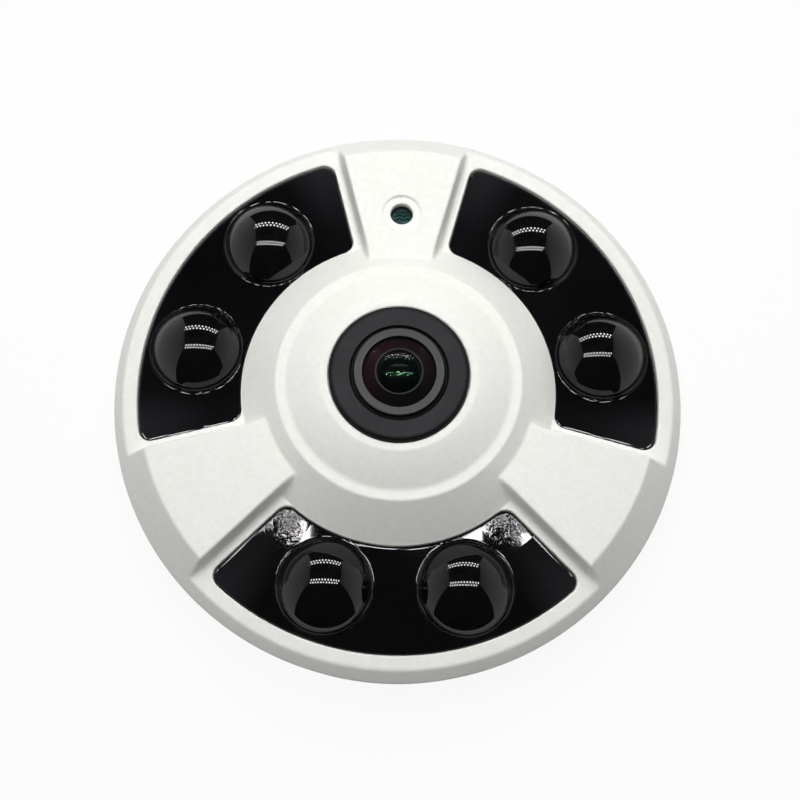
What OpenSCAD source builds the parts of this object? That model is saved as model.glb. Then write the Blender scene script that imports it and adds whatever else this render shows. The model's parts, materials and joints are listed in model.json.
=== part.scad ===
// Ceiling camera with a fisheye lens and three smoked lamp windows
// Millimetres. The origin is the centre of the face that meets the ceiling,
// +Z runs out through the lens and +Y points at the light sensor.

/* [Housing] */
// Radius of the housing at its widest
rim_r = 74; // [72:0.5:78]
// Inward draft of the rim wall down to its foot
rim_draft = 0.5; // [0.2:0.1:1]
// Height where the rim wall turns into the bevel
rim_h = 17; // [16:0.25:18]
// Angle of the bevel, from level
bevel = 46; // [42:1:52]
// Height of the three low pads
pad_h = 20; // [19.5:0.25:21]
// Height of the three raised arms
arm_h = 25.4; // [24.4:0.2:26.6]
// Width of one arm in degrees
arm_span = 30; // [27:1:32]
// How far an arm's top edge stands in from its foot
arm_lean = 1.2; // [0.6:0.1:2]
// Radius of the soft corner at an arm's foot
arm_foot_round = 1.4; // [0.8:0.1:1.8]
// Radius of the soft outer edges
edge_round = 1; // [0.5:0.1:1.6]
// Wall thickness of the front housing
wall = 2.4; // [2.2:0.1:2.6]

/* [Hub] */
// Radius where the hub's flank meets the pads
flank_foot_r = 40.6; // [40:0.2:42]
// Radius of the small ledge at the top of the flank
ledge_r = 31.1; // [30.4:0.1:32]
// Height of the ledge
ledge_h = 28.7; // [28:0.1:29.4]
// Radius of the ball that the top of the hub is cut from
hub_ball_r = 53.4; // [50:0.2:58]
// Radius where the ball meets the ledge
ball_foot_r = 28.6; // [28:0.1:29.4]
// Height of the flat lip round the lens
lip_h = 33.25; // [33:0.05:33.6]
// Radius of the hole that the lens bezel fills
lens_hole_r = 17.7; // [17.2:0.1:18.4]

/* [Lamp windows] */
// Width of the housing between a window and the bevel
window_border = 3.55; // [3:0.05:4.5]
// Width of the pad between a window and an arm
window_side = 1.75; // [1.5:0.05:2.5]
// Radius of a window's corners
window_corner_r = 3.3; // [2.5:0.1:4]
// Depth of the window's face below the pad
window_sink = 1.2; // [0.6:0.1:1.4]
// Thickness of the window's panel
window_t = 1.8; // [1.5:0.1:2]
// Angle of each dome from the middle of its window
lamp_turn = 18.9; // [17:0.1:20]
// Radius of curvature of a dome
dome_ball_r = 14; // [13.6:0.1:15]
// Height of a dome above the window's face
dome_h = 7; // [6.5:0.1:7.4]
// Radius of a dome at the top of its foot
dome_r = 11.3; // [11:0.1:11.6]
// Width and height of the hollow curve at a dome's foot
dome_foot = 1.3; // [1:0.1:1.3]

/* [Lens] */
// Height of the top of the front glass
lens_top = 37.2; // [36.8:0.1:37.8]
// Radius of the visible front glass
glass_r = 9.2; // [8.8:0.1:9.4]
// Radius of curvature of the front glass
glass_ball_r = 16.8; // [16:0.1:17.6]
// Radius of the lens head
head_r = 11.2; // [11:0.1:11.5]
// Height of the black bezel round the lens
bezel_h = 34.3; // [34:0.1:34.6]
// Radius of the hole in the bezel
bezel_hole_r = 12.2; // [12:0.1:12.6]
// Radius of the lens thread
thread_r = 5.95; // [5.9:0.01:6]

/* [Light sensor] */
// Radius at which the light sensor sits
eye_place_r = 47.5; // [46.5:0.5:50]
// Radius of the sensor hole
eye_hole_r = 3; // [2.7:0.1:3.3]
// Radius of the shallow recess round it
eye_recess_r = 5.1; // [4.8:0.1:5.4]
// Depth of that recess
eye_recess = 0.7; // [0.4:0.1:1]
// Radius of the photocell
photocell_r = 2.55; // [2.5:0.05:2.6]

/* [Ceiling plate] */
// Thickness of the ceiling plate
plate_t = 2.2; // [1.8:0.1:2.4]
// Distance from the rim's foot to the edge of the ceiling plate
plate_inset = 23.5; // [22.5:0.5:24.5]
// Width of the plate, from its edge to the cable opening
plate_band = 16; // [14:0.5:16.5]
// Distance from the plate's edge to the circle of fixing holes
fixing_inset = 8; // [7:0.5:8.5]
// Radius of one fixing hole
fixing_hole_r = 2.2; // [2:0.1:2.5]
// Width of one bayonet ear in degrees
ear_span = 22; // [18:1:24]
// How far an ear reaches out from the plate
ear_reach = 4; // [3.4:0.2:4.4]
// Running gap between the ears and the hooks
ear_gap = 0.4; // [0.3:0.05:0.5]

/* [Rear cover] */
// Gap between the housing's edge and the ceiling
edge_gap = 0.4; // [0.3:0.05:0.6]
// Thickness of the rear cover
cover_t = 2.2; // [2:0.1:2.4]
// Gap between the ring that carries the hooks and the heads of the cover screws
cover_screw_gap = 1.2; // [0.8:0.1:2]
// Thickness of the seal between cover and housing
seal_t = 0.4; // [0.3:0.05:0.6]

/* [Boards] */
// Thickness of every circuit board
board_t = 1.6; // [1.4:0.1:1.8]
// Gap between the filter changer and the posts that carry the sensor board
post_gap = 1.8; // [1.4:0.1:2]
// Distance from the sensor board's screws to its edge
sensor_screw_inset = 2; // [1.8:0.1:2.5]
// Width of the power board
power_board_w = 52; // [50:1:54]
// Depth of the power board
power_board_d = 28; // [27:0.5:29]

/* [Infrared filter] */
// Side of one square filter
filter_w = 6.4; // [6.2:0.1:6.6]
// Travel of the filter slider from day to night
filter_travel = 7; // [6.8:0.1:7.2]
// Distance from the rotor's pivot to its pin
rotor_reach = 5.4; // [5.2:0.1:5.8]

/* [Hidden] */
$fn = 96;

// Overrun of every cut
over = 1;
// Directions of the arms, the windows and the fixing holes
arm_turns = [90, 210, 330];
window_turns = [150, 30, 270];
fixing_turns = [30, 150, 270];

// Housing
foot_r = rim_r - rim_draft;
pad_edge_r = bevel_r(pad_h);
arm_edge_r = bevel_r(arm_h);
arm_under = arm_h - wall;
pad_under = pad_h - wall;
arm_tilt = atan(arm_lean / (arm_h - pad_h));
rim_wall = 3.2;
seat_wall = 1.7;
bore_r = foot_r - rim_wall;
seat_r = foot_r - seat_wall;
soft_steps = 5;
// How far the ends of a foot's soft corner run into the faces beside it
foot_sink = 0.02;
flank_angle = atan((ledge_h - pad_h) / (flank_foot_r - ledge_r));
flank_shift = wall * tan(flank_angle / 2);
ball_z = ledge_h - sqrt(pow(hub_ball_r, 2) - pow(ball_foot_r, 2));
ball_foot_round = 3;
ball_foot_slope = asin(ball_foot_r / hub_ball_r);
bezel_ledge_w = 2.5;
bezel_ledge_t = 2.2;
bezel_ledge_z = 31.6;
bezel_ledge_r = lens_hole_r - bezel_ledge_w;

// Rear cover and ceiling plate
skirt_gap = 2 * edge_gap;
hook_t = 1.4;
ear_t = 1.6;
roof_gap = 0.8;
plate_r = foot_r - plate_inset;
plate_hole_r = plate_r - plate_band;
fixing_place_r = plate_r - fixing_inset;
hook_top = skirt_gap + hook_t;
ear_z = hook_top + ear_gap;
ear_top = ear_z + ear_t;
cover_z = ear_top + roof_gap;
cover_top = cover_z + cover_t;
seal_top = cover_top + seal_t;
cover_fit = 0.2;
cover_r = seat_r - cover_fit;
skirt_w = 2.6;
plate_rim_w = 2.2;
hook_gap = 0.4;
hook_in_r = plate_r + hook_gap;
hook_ring_r = plate_r + ear_reach + hook_gap;
hook_ring_w = 2.6;
hook_stop_span = 3;
hook_stop_gap = 0.5;
fixing_sink_r = 4.2;
fixing_sink = 1.2;

// Shares of a screw's head: bevelled part of its height, slot's depth, slot's half width
head_bevel_share = 1 / 3;
slot_depth_share = 1 / 2;
slot_width_share = 1 / 8;

// Cover screws
m3_r = 1.45;
m3_hole_r = 1.5;
m3_head_r = 2.8;
m3_head_t = 1.8;
m3_l = 9;
cover_boss_r = 4;
cover_screw_place_r = hook_ring_r + hook_ring_w + m3_head_r + cover_screw_gap;

// Windows
window_in_gap = 0.25;
window_in_r = flank_foot_r + window_in_gap;
window_out_r = pad_edge_r - window_border;
window_half = (360 / len(arm_turns) - arm_span) / 2;
window_fit = 0.25;
window_z = pad_h - window_sink;
gasket_t = 0.4;
gasket_w = 1.1;
flange_w = 1.8;
flange_t = 1.4;
flange_top = pad_under - gasket_t;
flange_z = flange_top - flange_t;
window_rim_w = 2.4;
lamp_shift = 0.2;
lamp_r = (window_in_r + window_out_r) / 2 - lamp_shift;
dome_t = 1.8;
dome_under = 0.25;
dome_z = window_z + dome_h - dome_ball_r;

// Lamp board
board_gap = 0.3;
led_board_top = flange_z - board_gap;
led_board_z = led_board_top - board_t;
led_board_in_inset = 2.15;
led_board_out_inset = 3;
led_board_in_r = window_in_r + led_board_in_inset;
led_board_out_r = window_out_r - led_board_out_inset;
led_boss_r = 2.2;
// Angle between an arm's wall and the bosses of the lamp board
led_wall_turn = 4;
led_boss_turn = arm_span / 2 - led_wall_turn;
led_notch_gap = 0.6;
m2_5_r = 1.2;
m2_5_hole_r = 1.25;
m2_5_head_r = 2.1;
m2_5_head_t = 1.5;
m2_5_l = 6;
led_base_r = 4.4;
led_base_t = 1.2;
led_lens_r = 3.6;

// Light sensor
eye_glass_r = 4;
eye_glass_t = 1;
eye_glass_fit = 0.1;
eye_holder_r = 5.6;
// Share of the space under the arm, down to the lamp board, that the holder fills
eye_holder_share = 0.56;
eye_holder_t = (arm_under - led_board_top) * eye_holder_share;
eye_ear_r = 1.7;
eye_ear_t = 1.4;
eye_ear_place = 7.2;
photocell_t = 2;
photocell_fit = 0.1;
leg_r = 0.3;
leg_half = 1.3;
eye_screw_r = 0.75;
eye_screw_hole_r = 0.8;
eye_screw_head_r = 1.5;
eye_screw_head_t = 1;
eye_screw_l = 3;

// Sensor stack
heat_pad_t = 1.6;
processor_t = 1.2;
processor_w = 13;
sensor_board_z = cover_top + heat_pad_t + processor_t;
sensor_board_top = sensor_board_z + board_t;
chip_w = 10;
chip_d = 9;
chip_t = 1;
post_r = 2.7;
post_top_gap = 0.25;
m2_r = 0.95;
m2_hole_r = 1;
m2_head_r = 1.9;
m2_head_t = 1.2;
m2_l = 7;

// Filter changer
frame_wall = 1.2;
frame_floor = 1;
frame_h = 6;
frame_z = sensor_board_top;
frame_top = frame_z + frame_h;
floor_top = frame_z + frame_floor;
slide_gap = 0.3;
slider_border = 0.8;
slider_t = 1.4;
slider_z = floor_top + slide_gap;
slider_top = slider_z + slider_t;
slider_w = filter_w + 2 * slider_border;
slider_l = filter_travel + slider_w;
cavity_half = slider_l - slider_w / 2 + slide_gap;
frame_half = cavity_half + frame_wall;
rail_w = 1;
rail_h = 2;
glass_t = 0.8;
glass_fit = 0.05;
rotor_swing = asin(filter_travel / 2 / rotor_reach);
pin_r = 0.55;
fork_gap = 0.3;
fork_wall = 1;
magnet_r = 2.3;
magnet_t = 1.6;
pivot_r = 0.7;
pivot_hole_r = 0.76;
arm_plate_t = 1.2;
arm_plate_w = 2.2;
pin_clear = 1.1;
pivot_y = -(slider_w / 2 + pin_clear + pin_r + rotor_reach);
fork_l = 4.2;
coil_r = 1.9;
coil_l = 9;
coil_gap = 0.4;
coil_y = pivot_y - magnet_r - coil_r - coil_gap;
yoke_w = 1.2;
yoke_fit = 0.05;
frame_back = coil_y - coil_r - slide_gap - frame_wall;
holder_boss_r = 2;
holder_boss_gap = 0.2;
holder_screw_inset = 3;
holder_screw_x = frame_half - holder_screw_inset;
holder_screw_y = slider_w / 2 + slide_gap + rail_w + holder_boss_gap + holder_boss_r;
holder_screw_l = 9.2;
frame_front = holder_screw_y + holder_screw_inset;
sensor_screw_half = frame_half + post_gap + post_r;
sensor_board_half = sensor_screw_half + sensor_screw_inset;

// Lens
holder_flange_t = 2;
holder_tube_r = 8.5;
holder_tube_h = 6;
holder_bore_r = thread_r + 0.05;
holder_z = frame_top;
holder_top = holder_z + holder_flange_t + holder_tube_h;
lock_ring_t = 1;
lock_ring_r = 9.5;
head_z = holder_top + lock_ring_t;
glass_z = lens_top - glass_ball_r;
glass_edge_gap = 0.15;
retainer_z = glass_z + sqrt(pow(glass_ball_r, 2) - pow(glass_r, 2)) + glass_edge_gap;
retainer_t = 0.6;
element_fit = 0.1;
front_edge_r = glass_r + retainer_t;
front_edge_t = 2.15;
front_edge_z = retainer_z - front_edge_t;
front_hollow_r = 6.2;
front_glass_t = 1.4;
second_r = 5.2;
second_gap = 0.6;
second_t = 2.6;
second_z = front_edge_z - second_gap - second_t;
second_hollow_r = 4.4;
second_glass_t = 1.5;
third_r = 4.2;
web_drop = 0.8;
web_top = holder_top - web_drop;
web_t = 1;
web_hole_r = 2.6;
stop_t = 0.2;
stop_hole_r = 0.9;
third_ball_r = 9;
rear_r = 4.2;
rear_t = 5.8;
rear_ball_r = 8;
rear_ring_t = 1.4;
rear_ring_hole_r = 2.8;
barrel_end = slider_top + slide_gap + arm_plate_t + slide_gap;

// Bezel
bezel_fit = 0.2;
bezel_seal_t = 0.4;
bezel_skirt_l = 2.4;
bezel_round = 0.9;
lens_seal_fit = 0.03;

// Power board
power_post_h = 1.5;
power_board_z = cover_top + power_post_h;
power_board_top = power_board_z + board_t;
power_board_y = -27;
power_inset = 3.5;
transformer_w = 12;
transformer_d = 10;
transformer_h = 5;
transformer_y = 8;
capacitor_r = 3.15;
capacitor_h = 5.2;
capacitor_x = 14;
capacitor_y = 6;
header_w = 10;
header_d = 5;
header_h = 3.2;
header_x = -14;
header_y = 20;
header_wall = 0.8;
header_floor = 1;

// Cable grommet
grommet_y = 26;
grommet_hole_r = 5.2;
grommet_fit = 0.1;
grommet_bore_r = 3;
grommet_flange_r = 6.8;
grommet_flange_t = 1;

// Radius of the bevel at height z
function bevel_r(z) = rim_r - (z - rim_h) / tan(bevel);

// Points of an arc that rounds the corner b of the path a, b, c with radius r
function corner_arc(a, b, c, r, steps) =
    let (
        u = (a - b) / norm(a - b),
        v = (c - b) / norm(c - b),
        half = acos(u * v) / 2,
        reach = r / tan(half),
        p = b + u * reach,
        q = b + v * reach,
        m = b + (u + v) / norm(u + v) * r / sin(half),
        a0 = atan2(p[1] - m[1], p[0] - m[0]),
        turn0 = atan2(q[1] - m[1], q[0] - m[0]) - a0,
        turn = turn0 > 180 ? turn0 - 360 : turn0 < -180 ? turn0 + 360 : turn0
    )
    [for (i = [0:steps]) m + r * [cos(a0 + turn * i / steps), sin(a0 + turn * i / steps)]];

// Points of an arc of radius r about the origin
function origin_arc(r, a0, a1, steps) =
    [for (i = [0:steps]) r * [cos(a0 + (a1 - a0) * i / steps), sin(a0 + (a1 - a0) * i / steps)]];

// Points of an arc of radius r about the point m
function point_arc(m, r, a0, a1, steps) = [for (p = origin_arc(r, a0, a1, steps)) m + p];

// Points i to j of a list, in either direction
function part_of(points, i, j) = [for (k = [i:(i < j ? 1 : -1):j]) points[k]];

// Centre of a window's corner round: place_r is its distance from the axis
function corner_centre(place_r, half, drop) =
    let (a = half - asin(drop / place_r)) place_r * [cos(a), sin(a)];

// One half of a window's outline, grown by g all round, on the side of +angle
function window_half_outline(g) =
    let (
        r = max(window_corner_r + g, window_corner_r / 4),
        drop = window_side - g + r,
        inner = window_in_r - g + r,
        outer = window_out_r + g - r,
        ci = corner_centre(inner, window_half, drop),
        co = corner_centre(outer, window_half, drop),
        ai = atan2(ci[1], ci[0]),
        ao = atan2(co[1], co[0])
    )
    concat(
        part_of(origin_arc(window_out_r + g, 0, ao, 12), 0, 11),
        point_arc(co, r, ao, window_half + 90, 6),
        point_arc(ci, r, window_half + 90, ai + 180, 6),
        part_of(origin_arc(window_in_r - g, ai, 0, 8), 1, 8)
    );

// A window's outline, grown by g all round
module window_shape(g) {
    half = window_half_outline(g);
    polygon(concat(half, [for (p = part_of(half, len(half) - 2, 1)) [p[0], -p[1]]]));
}

// Places a child at radius r on each of the given angles
module around(angles, r) {
    for (a = angles) rotate([0, 0, a]) translate([r, 0, 0]) children();
}

// Flat ring between two radii
module ring(r_in, r_out, z, h) {
    translate([0, 0, z]) difference() {
        cylinder(r = r_out, h = h);
        translate([0, 0, -over]) cylinder(r = r_in, h = h + 2 * over);
    }
}

// Box centred on x and y, standing on z
module block(w, d, z, h) {
    translate([-w / 2, -d / 2, z]) cube([w, d, h]);
}

// Part of a ring over a span of degrees, centred on +X
module ring_part(r_in, r_out, z, h, span) {
    rotate([0, 0, -span / 2]) translate([0, 0, z])
        rotate_extrude(angle = span) translate([r_in, 0]) square([r_out - r_in, h]);
}

// Screw with a cross recess: the shank points along +Z from the origin, the head lies below
module screw(r, l, head_r, head_t) {
    bevel_t = head_t * head_bevel_share;
    slot_r = head_r * slot_width_share;
    cylinder(r = r, h = l);
    difference() {
        union() {
            translate([0, 0, bevel_t - head_t]) cylinder(r = head_r, h = head_t - bevel_t);
            translate([0, 0, -head_t]) cylinder(r1 = head_r - bevel_t, r2 = head_r, h = bevel_t);
        }
        for (a = [0, 90]) rotate([0, 0, a])
            translate([-head_r / 2, -slot_r, -head_t - over])
                cube([head_r, 2 * slot_r, head_t * slot_depth_share + over]);
    }
}

// Everything on an arm's side of its two leaning walls, moved in by inset
module arm_wedge(inset) {
    span = 2 * rim_r;
    intersection_for (side = [-1, 1])
        rotate([0, 0, side * arm_span / 2])
            translate([0, 0, pad_h])
                rotate([side * arm_tilt, 0, 0])
                    translate([0, side < 0 ? inset : -span - inset, -span / 2])
                        cube([span, span, span]);
}

// Soft inside corner along both feet of one arm
module arm_feet() {
    corner = [-foot_sink, -foot_sink];
    arc = corner_arc(corner + [1, 0], corner, corner + [-tan(arm_tilt), 1], arm_foot_round, soft_steps);
    root = [-arm_lean, -arm_lean];
    for (side = [-1, 1])
        rotate([0, 0, side * arm_span / 2])
            translate([ledge_r, 0, pad_h])
                mirror([0, side < 0 ? 1 : 0, 0])
                    rotate([90, 0, 90])
                        linear_extrude(rim_r - ledge_r)
                            polygon(concat([root], arc));
}

// Disc as high as the arms
module arm_disc() {
    foot = [foot_r, edge_gap];
    shoulder = [rim_r, rim_h];
    edge = [arm_edge_r, arm_h];
    rotate_extrude() polygon(concat(
        [[0, edge_gap], foot],
        corner_arc(foot, shoulder, edge, 2 * edge_round, soft_steps),
        corner_arc(shoulder, edge, [0, arm_h], edge_round, soft_steps),
        [[0, arm_h]]
    ));
}

// Space over the pads, from inside the hub to past the rim, between the arms
module over_pads() {
    arc = corner_arc([ledge_r, pad_h], [pad_edge_r, pad_h], [rim_r, rim_h], edge_round, soft_steps);
    last = arc[soft_steps];
    past = last + (last - arc[soft_steps - 1]) * rim_r;
    difference() {
        rotate_extrude() polygon(concat(
            [[ledge_r, pad_h]], arc, [past, [past[0], lip_h], [ledge_r, lip_h]]
        ));
        for (a = arm_turns) rotate([0, 0, a]) {
            arm_wedge(0);
            arm_feet();
        }
    }
}

// Flank and ledge of the hub
module hub_foot() {
    flank = [flank_foot_r, pad_h];
    ledge = [ledge_r, ledge_h];
    low = flank + (flank - ledge) * wall / 2 / (ledge_h - pad_h);
    rotate_extrude() polygon(concat(
        [[0, low[1]], low],
        corner_arc(low, ledge, [0, ledge_h], edge_round / 2, soft_steps),
        [[0, ledge_h]]
    ));
}

// Crown of the hub, with the hollow curve round its foot
module hub_crown() {
    intersection() {
        translate([0, 0, ball_z]) sphere(r = hub_ball_r);
        translate([0, 0, ledge_h - wall]) cylinder(r = ledge_r, h = lip_h - ledge_h + wall);
    }
    foot = [ball_foot_r, ledge_h];
    slope = [ball_foot_r - cos(ball_foot_slope), ledge_h + sin(ball_foot_slope)];
    arc = corner_arc(slope, foot, [ledge_r, ledge_h], ball_foot_round, soft_steps);
    rotate_extrude() polygon(concat([[ball_foot_r - wall, ledge_h - wall / 2]], arc));
}

// Space inside the housing
module housing_cavity() {
    rotate_extrude() polygon([
        [0, edge_gap - over], [seat_r, edge_gap - over], [seat_r, seal_top], [bore_r, seal_top],
        [bore_r, pad_under], [flank_foot_r - flank_shift, pad_under],
        [ledge_r - flank_shift, ledge_h - wall], [0, ledge_h - wall]
    ]);
    intersection() {
        translate([0, 0, ball_z]) sphere(r = hub_ball_r - wall);
        cylinder(r = ball_foot_r, h = bezel_ledge_z - bezel_ledge_t);
    }
    inner_edge_r = arm_edge_r - wall * tan(bevel / 2);
    bevel_foot = arm_under - (bore_r - inner_edge_r) * tan(bevel);
    for (a = arm_turns) rotate([0, 0, a]) intersection() {
        rotate_extrude() polygon([
            [0, rim_h - wall], [bore_r, rim_h - wall], [bore_r, bevel_foot],
            [inner_edge_r, arm_under], [0, arm_under]
        ]);
        arm_wedge(wall);
    }
}

// Bosses and posts that carry the boards and take the screws
module housing_bosses() {
    root = wall / 2;
    around(arm_turns, cover_screw_place_r)
        translate([0, 0, cover_top]) cylinder(r = cover_boss_r, h = arm_under + root - cover_top);
    for (t = [-led_boss_turn, led_boss_turn]) rotate([0, 0, t]) around(arm_turns, lamp_r)
        translate([0, 0, led_board_top]) cylinder(r = led_boss_r, h = arm_under + root - led_board_top);
    post_far_r = norm([sensor_screw_half, sensor_screw_half]) + post_r;
    post_top = ball_z + sqrt(pow(hub_ball_r, 2) - pow(post_far_r, 2)) - post_top_gap;
    for (x = [-1, 1], y = [-1, 1])
        translate([x * sensor_screw_half, y * sensor_screw_half, sensor_board_top])
            cylinder(r = post_r, h = post_top - sensor_board_top);
}

module front_housing() color("white") difference() {
    union() {
        difference() {
            union() {
                difference() {
                    arm_disc();
                    over_pads();
                }
                hub_foot();
                hub_crown();
            }
            housing_cavity();
        }
        housing_bosses();
    }
    // Lens hole and its ledge
    translate([0, 0, bezel_ledge_z]) cylinder(r = lens_hole_r, h = lip_h);
    translate([0, 0, bezel_ledge_z - bezel_ledge_t - over]) cylinder(r = bezel_ledge_r, h = lip_h);
    // Windows
    for (a = window_turns) rotate([0, 0, a])
        translate([0, 0, pad_under - over]) linear_extrude(wall + 2 * over) window_shape(0);
    // Light sensor
    translate([0, eye_place_r, 0]) {
        translate([0, 0, arm_h - eye_recess]) cylinder(r = eye_recess_r, h = eye_recess + over);
        translate([0, 0, arm_under - over]) cylinder(r = eye_hole_r, h = wall + 2 * over);
        for (x = [-1, 1]) translate([x * eye_ear_place, 0, arm_under - over])
            cylinder(r = eye_screw_hole_r, h = eye_screw_l - eye_ear_t + over);
    }
    // Screw holes
    around(arm_turns, cover_screw_place_r)
        translate([0, 0, cover_top - over]) cylinder(r = m3_hole_r, h = m3_l + over);
    for (t = [-led_boss_turn, led_boss_turn]) rotate([0, 0, t]) around(arm_turns, lamp_r)
        translate([0, 0, led_board_top - over]) cylinder(r = m2_5_hole_r, h = m2_5_l + over);
    for (x = [-1, 1], y = [-1, 1])
        translate([x * sensor_screw_half, y * sensor_screw_half, sensor_board_top - over])
            cylinder(r = m2_hole_r, h = m2_l + over);
}

// Ceiling plate with three countersunk holes and three bayonet ears
module mounting_plate() color("gainsboro") difference() {
    union() {
        ring(plate_hole_r, plate_r, 0, plate_t);
        ring(plate_r - plate_rim_w, plate_r, 0, ear_top);
        for (a = arm_turns) rotate([0, 0, a])
            ring_part(plate_r - plate_rim_w / 2, plate_r + ear_reach, ear_z, ear_t, ear_span);
    }
    around(fixing_turns, fixing_place_r) {
        translate([0, 0, -over]) cylinder(r = fixing_hole_r, h = plate_t + 2 * over);
        translate([0, 0, plate_t - fixing_sink])
            cylinder(r1 = fixing_hole_r, r2 = fixing_sink_r, h = fixing_sink);
    }
}

// Rear cover with its skirt, hook ring, hooks and stops
module rear_cover() color("whitesmoke") difference() {
    union() {
        translate([0, 0, cover_z]) cylinder(r = cover_r, h = cover_t);
        ring(cover_r - skirt_w, cover_r, skirt_gap, cover_z + cover_t / 2 - skirt_gap);
        ring(hook_ring_r, hook_ring_r + hook_ring_w, skirt_gap, cover_z + cover_t / 2 - skirt_gap);
        for (a = arm_turns) rotate([0, 0, a]) {
            ring_part(hook_in_r, hook_ring_r + hook_ring_w / 2, skirt_gap, hook_t, ear_span);
            rotate([0, 0, (ear_span + hook_stop_span) / 2 + hook_stop_gap])
                ring_part(hook_in_r, hook_ring_r + hook_ring_w / 2, skirt_gap,
                    cover_z + cover_t / 2 - skirt_gap, hook_stop_span);
        }
        power_board_places() cylinder(r = m2_5_head_r, h = power_post_h + cover_t / 2);
    }
    around(arm_turns, cover_screw_place_r)
        translate([0, 0, cover_z - over]) cylinder(r = m3_hole_r, h = cover_t + 2 * over);
    translate([0, grommet_y, cover_z - over]) cylinder(r = grommet_hole_r, h = cover_t + 2 * over);
    power_board_places() cylinder(r = m2_5_hole_r, h = power_post_h + cover_t + over);
}

// Places children on the four corners of the power board, inside the cover's floor
module power_board_places() {
    x = power_board_w / 2 - power_inset;
    for (sx = [-1, 1], y = [power_inset, power_board_d - power_inset])
        translate([sx * x, power_board_y - y, cover_top - cover_t / 2]) children();
}

module cover_seal() color("dimgray") ring(bore_r + cover_fit / 2, cover_r, cover_top, seal_t);

module cover_screws() color("silver") around(arm_turns, cover_screw_place_r)
    translate([0, 0, cover_z]) screw(m3_r, m3_l, m3_head_r, m3_head_t);

// Smoked window: a panel with two domes, and a flange behind the pad
module lamp_window() {
    foot = dome_r + dome_foot;
    difference() {
        union() {
            translate([0, 0, flange_z]) linear_extrude(window_z - flange_z) window_shape(-window_fit);
            translate([0, 0, flange_z]) linear_extrude(flange_t) window_shape(flange_w);
            around([-lamp_turn, lamp_turn], lamp_r) {
                intersection() {
                    translate([0, 0, dome_z]) sphere(r = dome_ball_r);
                    translate([0, 0, window_z + dome_foot / 2]) cylinder(r = dome_r, h = dome_ball_r);
                }
                rotate_extrude() polygon(concat(
                    [[0, window_z - window_t / 2], [foot, window_z - window_t / 2]],
                    point_arc([foot, window_z + dome_foot], dome_foot, 270, 180, soft_steps),
                    [[0, window_z + dome_foot]]
                ));
            }
        }
        translate([0, 0, flange_z - over])
            linear_extrude(window_z - window_t - flange_z + over) window_shape(-window_rim_w);
        around([-lamp_turn, lamp_turn], lamp_r) intersection() {
            translate([0, 0, dome_z]) sphere(r = dome_ball_r - dome_t);
            translate([0, 0, window_z - window_t - dome_under]) cylinder(r = dome_ball_r, h = dome_ball_r);
        }
    }
}

module window_top_left() color([0.05, 0.05, 0.06]) rotate([0, 0, window_turns[0]]) lamp_window();
module window_top_right() color([0.05, 0.05, 0.06]) rotate([0, 0, window_turns[1]]) lamp_window();
module window_bottom() color([0.05, 0.05, 0.06]) rotate([0, 0, window_turns[2]]) lamp_window();

// Foam gasket between a window's flange and the housing
module window_gasket() translate([0, 0, flange_top]) difference() {
    linear_extrude(gasket_t) window_shape(gasket_w);
    translate([0, 0, -over]) linear_extrude(gasket_t + 2 * over) window_shape(0);
}

module gasket_top_left() color("dimgray") rotate([0, 0, window_turns[0]]) window_gasket();
module gasket_top_right() color("dimgray") rotate([0, 0, window_turns[1]]) window_gasket();
module gasket_bottom() color("dimgray") rotate([0, 0, window_turns[2]]) window_gasket();

// Round lamp board, cut away where the cover bosses pass
module led_board() color("white") difference() {
    ring(led_board_in_r, led_board_out_r, led_board_z, board_t);
    around(arm_turns, cover_screw_place_r) translate([0, 0, led_board_z - over])
        cylinder(r = cover_boss_r + led_notch_gap, h = board_t + 2 * over);
    for (t = [-led_boss_turn, led_boss_turn]) rotate([0, 0, t]) around(arm_turns, lamp_r)
        translate([0, 0, led_board_z - over]) cylinder(r = m2_5_hole_r, h = board_t + 2 * over);
}

module led_board_screws() color("silver")
    for (t = [-led_boss_turn, led_boss_turn]) rotate([0, 0, t]) around(arm_turns, lamp_r)
        translate([0, 0, led_board_z]) screw(m2_5_r, m2_5_l, m2_5_head_r, m2_5_head_t);

// Array lamp: a round base with its moulded lens
module array_led(window, side)
    rotate([0, 0, window + side * lamp_turn]) translate([lamp_r, 0, led_board_top]) {
        cylinder(r = led_base_r, h = led_base_t);
        intersection() {
            translate([0, 0, led_base_t]) sphere(r = led_lens_r);
            cylinder(r = led_lens_r, h = led_base_t + led_lens_r);
        }
    }

module array_led_1() color("khaki") array_led(window_turns[0], -1);
module array_led_2() color("khaki") array_led(window_turns[0], 1);
module array_led_3() color("khaki") array_led(window_turns[1], -1);
module array_led_4() color("khaki") array_led(window_turns[1], 1);
module array_led_5() color("khaki") array_led(window_turns[2], -1);
module array_led_6() color("khaki") array_led(window_turns[2], 1);

// Light sensor under the top arm
module eye_glass() color("lightcyan") translate([0, eye_place_r, arm_under - eye_glass_t])
    cylinder(r = eye_glass_r, h = eye_glass_t);

module eye_holder() color([0.1, 0.1, 0.1]) translate([0, eye_place_r, arm_under]) difference() {
    union() {
        translate([0, 0, -eye_holder_t]) cylinder(r = eye_holder_r, h = eye_holder_t);
        for (x = [-1, 1]) translate([x * eye_ear_place, 0, -eye_ear_t]) cylinder(r = eye_ear_r, h = eye_ear_t);
        block(2 * eye_ear_place, 2 * eye_ear_r, -eye_ear_t, eye_ear_t);
    }
    translate([0, 0, -eye_glass_t]) cylinder(r = eye_glass_r + eye_glass_fit, h = eye_glass_t + over);
    translate([0, 0, -eye_holder_t - over])
        cylinder(r = photocell_r + photocell_fit, h = eye_holder_t + over);
    for (x = [-1, 1]) translate([x * eye_ear_place, 0, -eye_ear_t - over])
        cylinder(r = eye_screw_hole_r, h = eye_ear_t + 2 * over);
}

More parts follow.
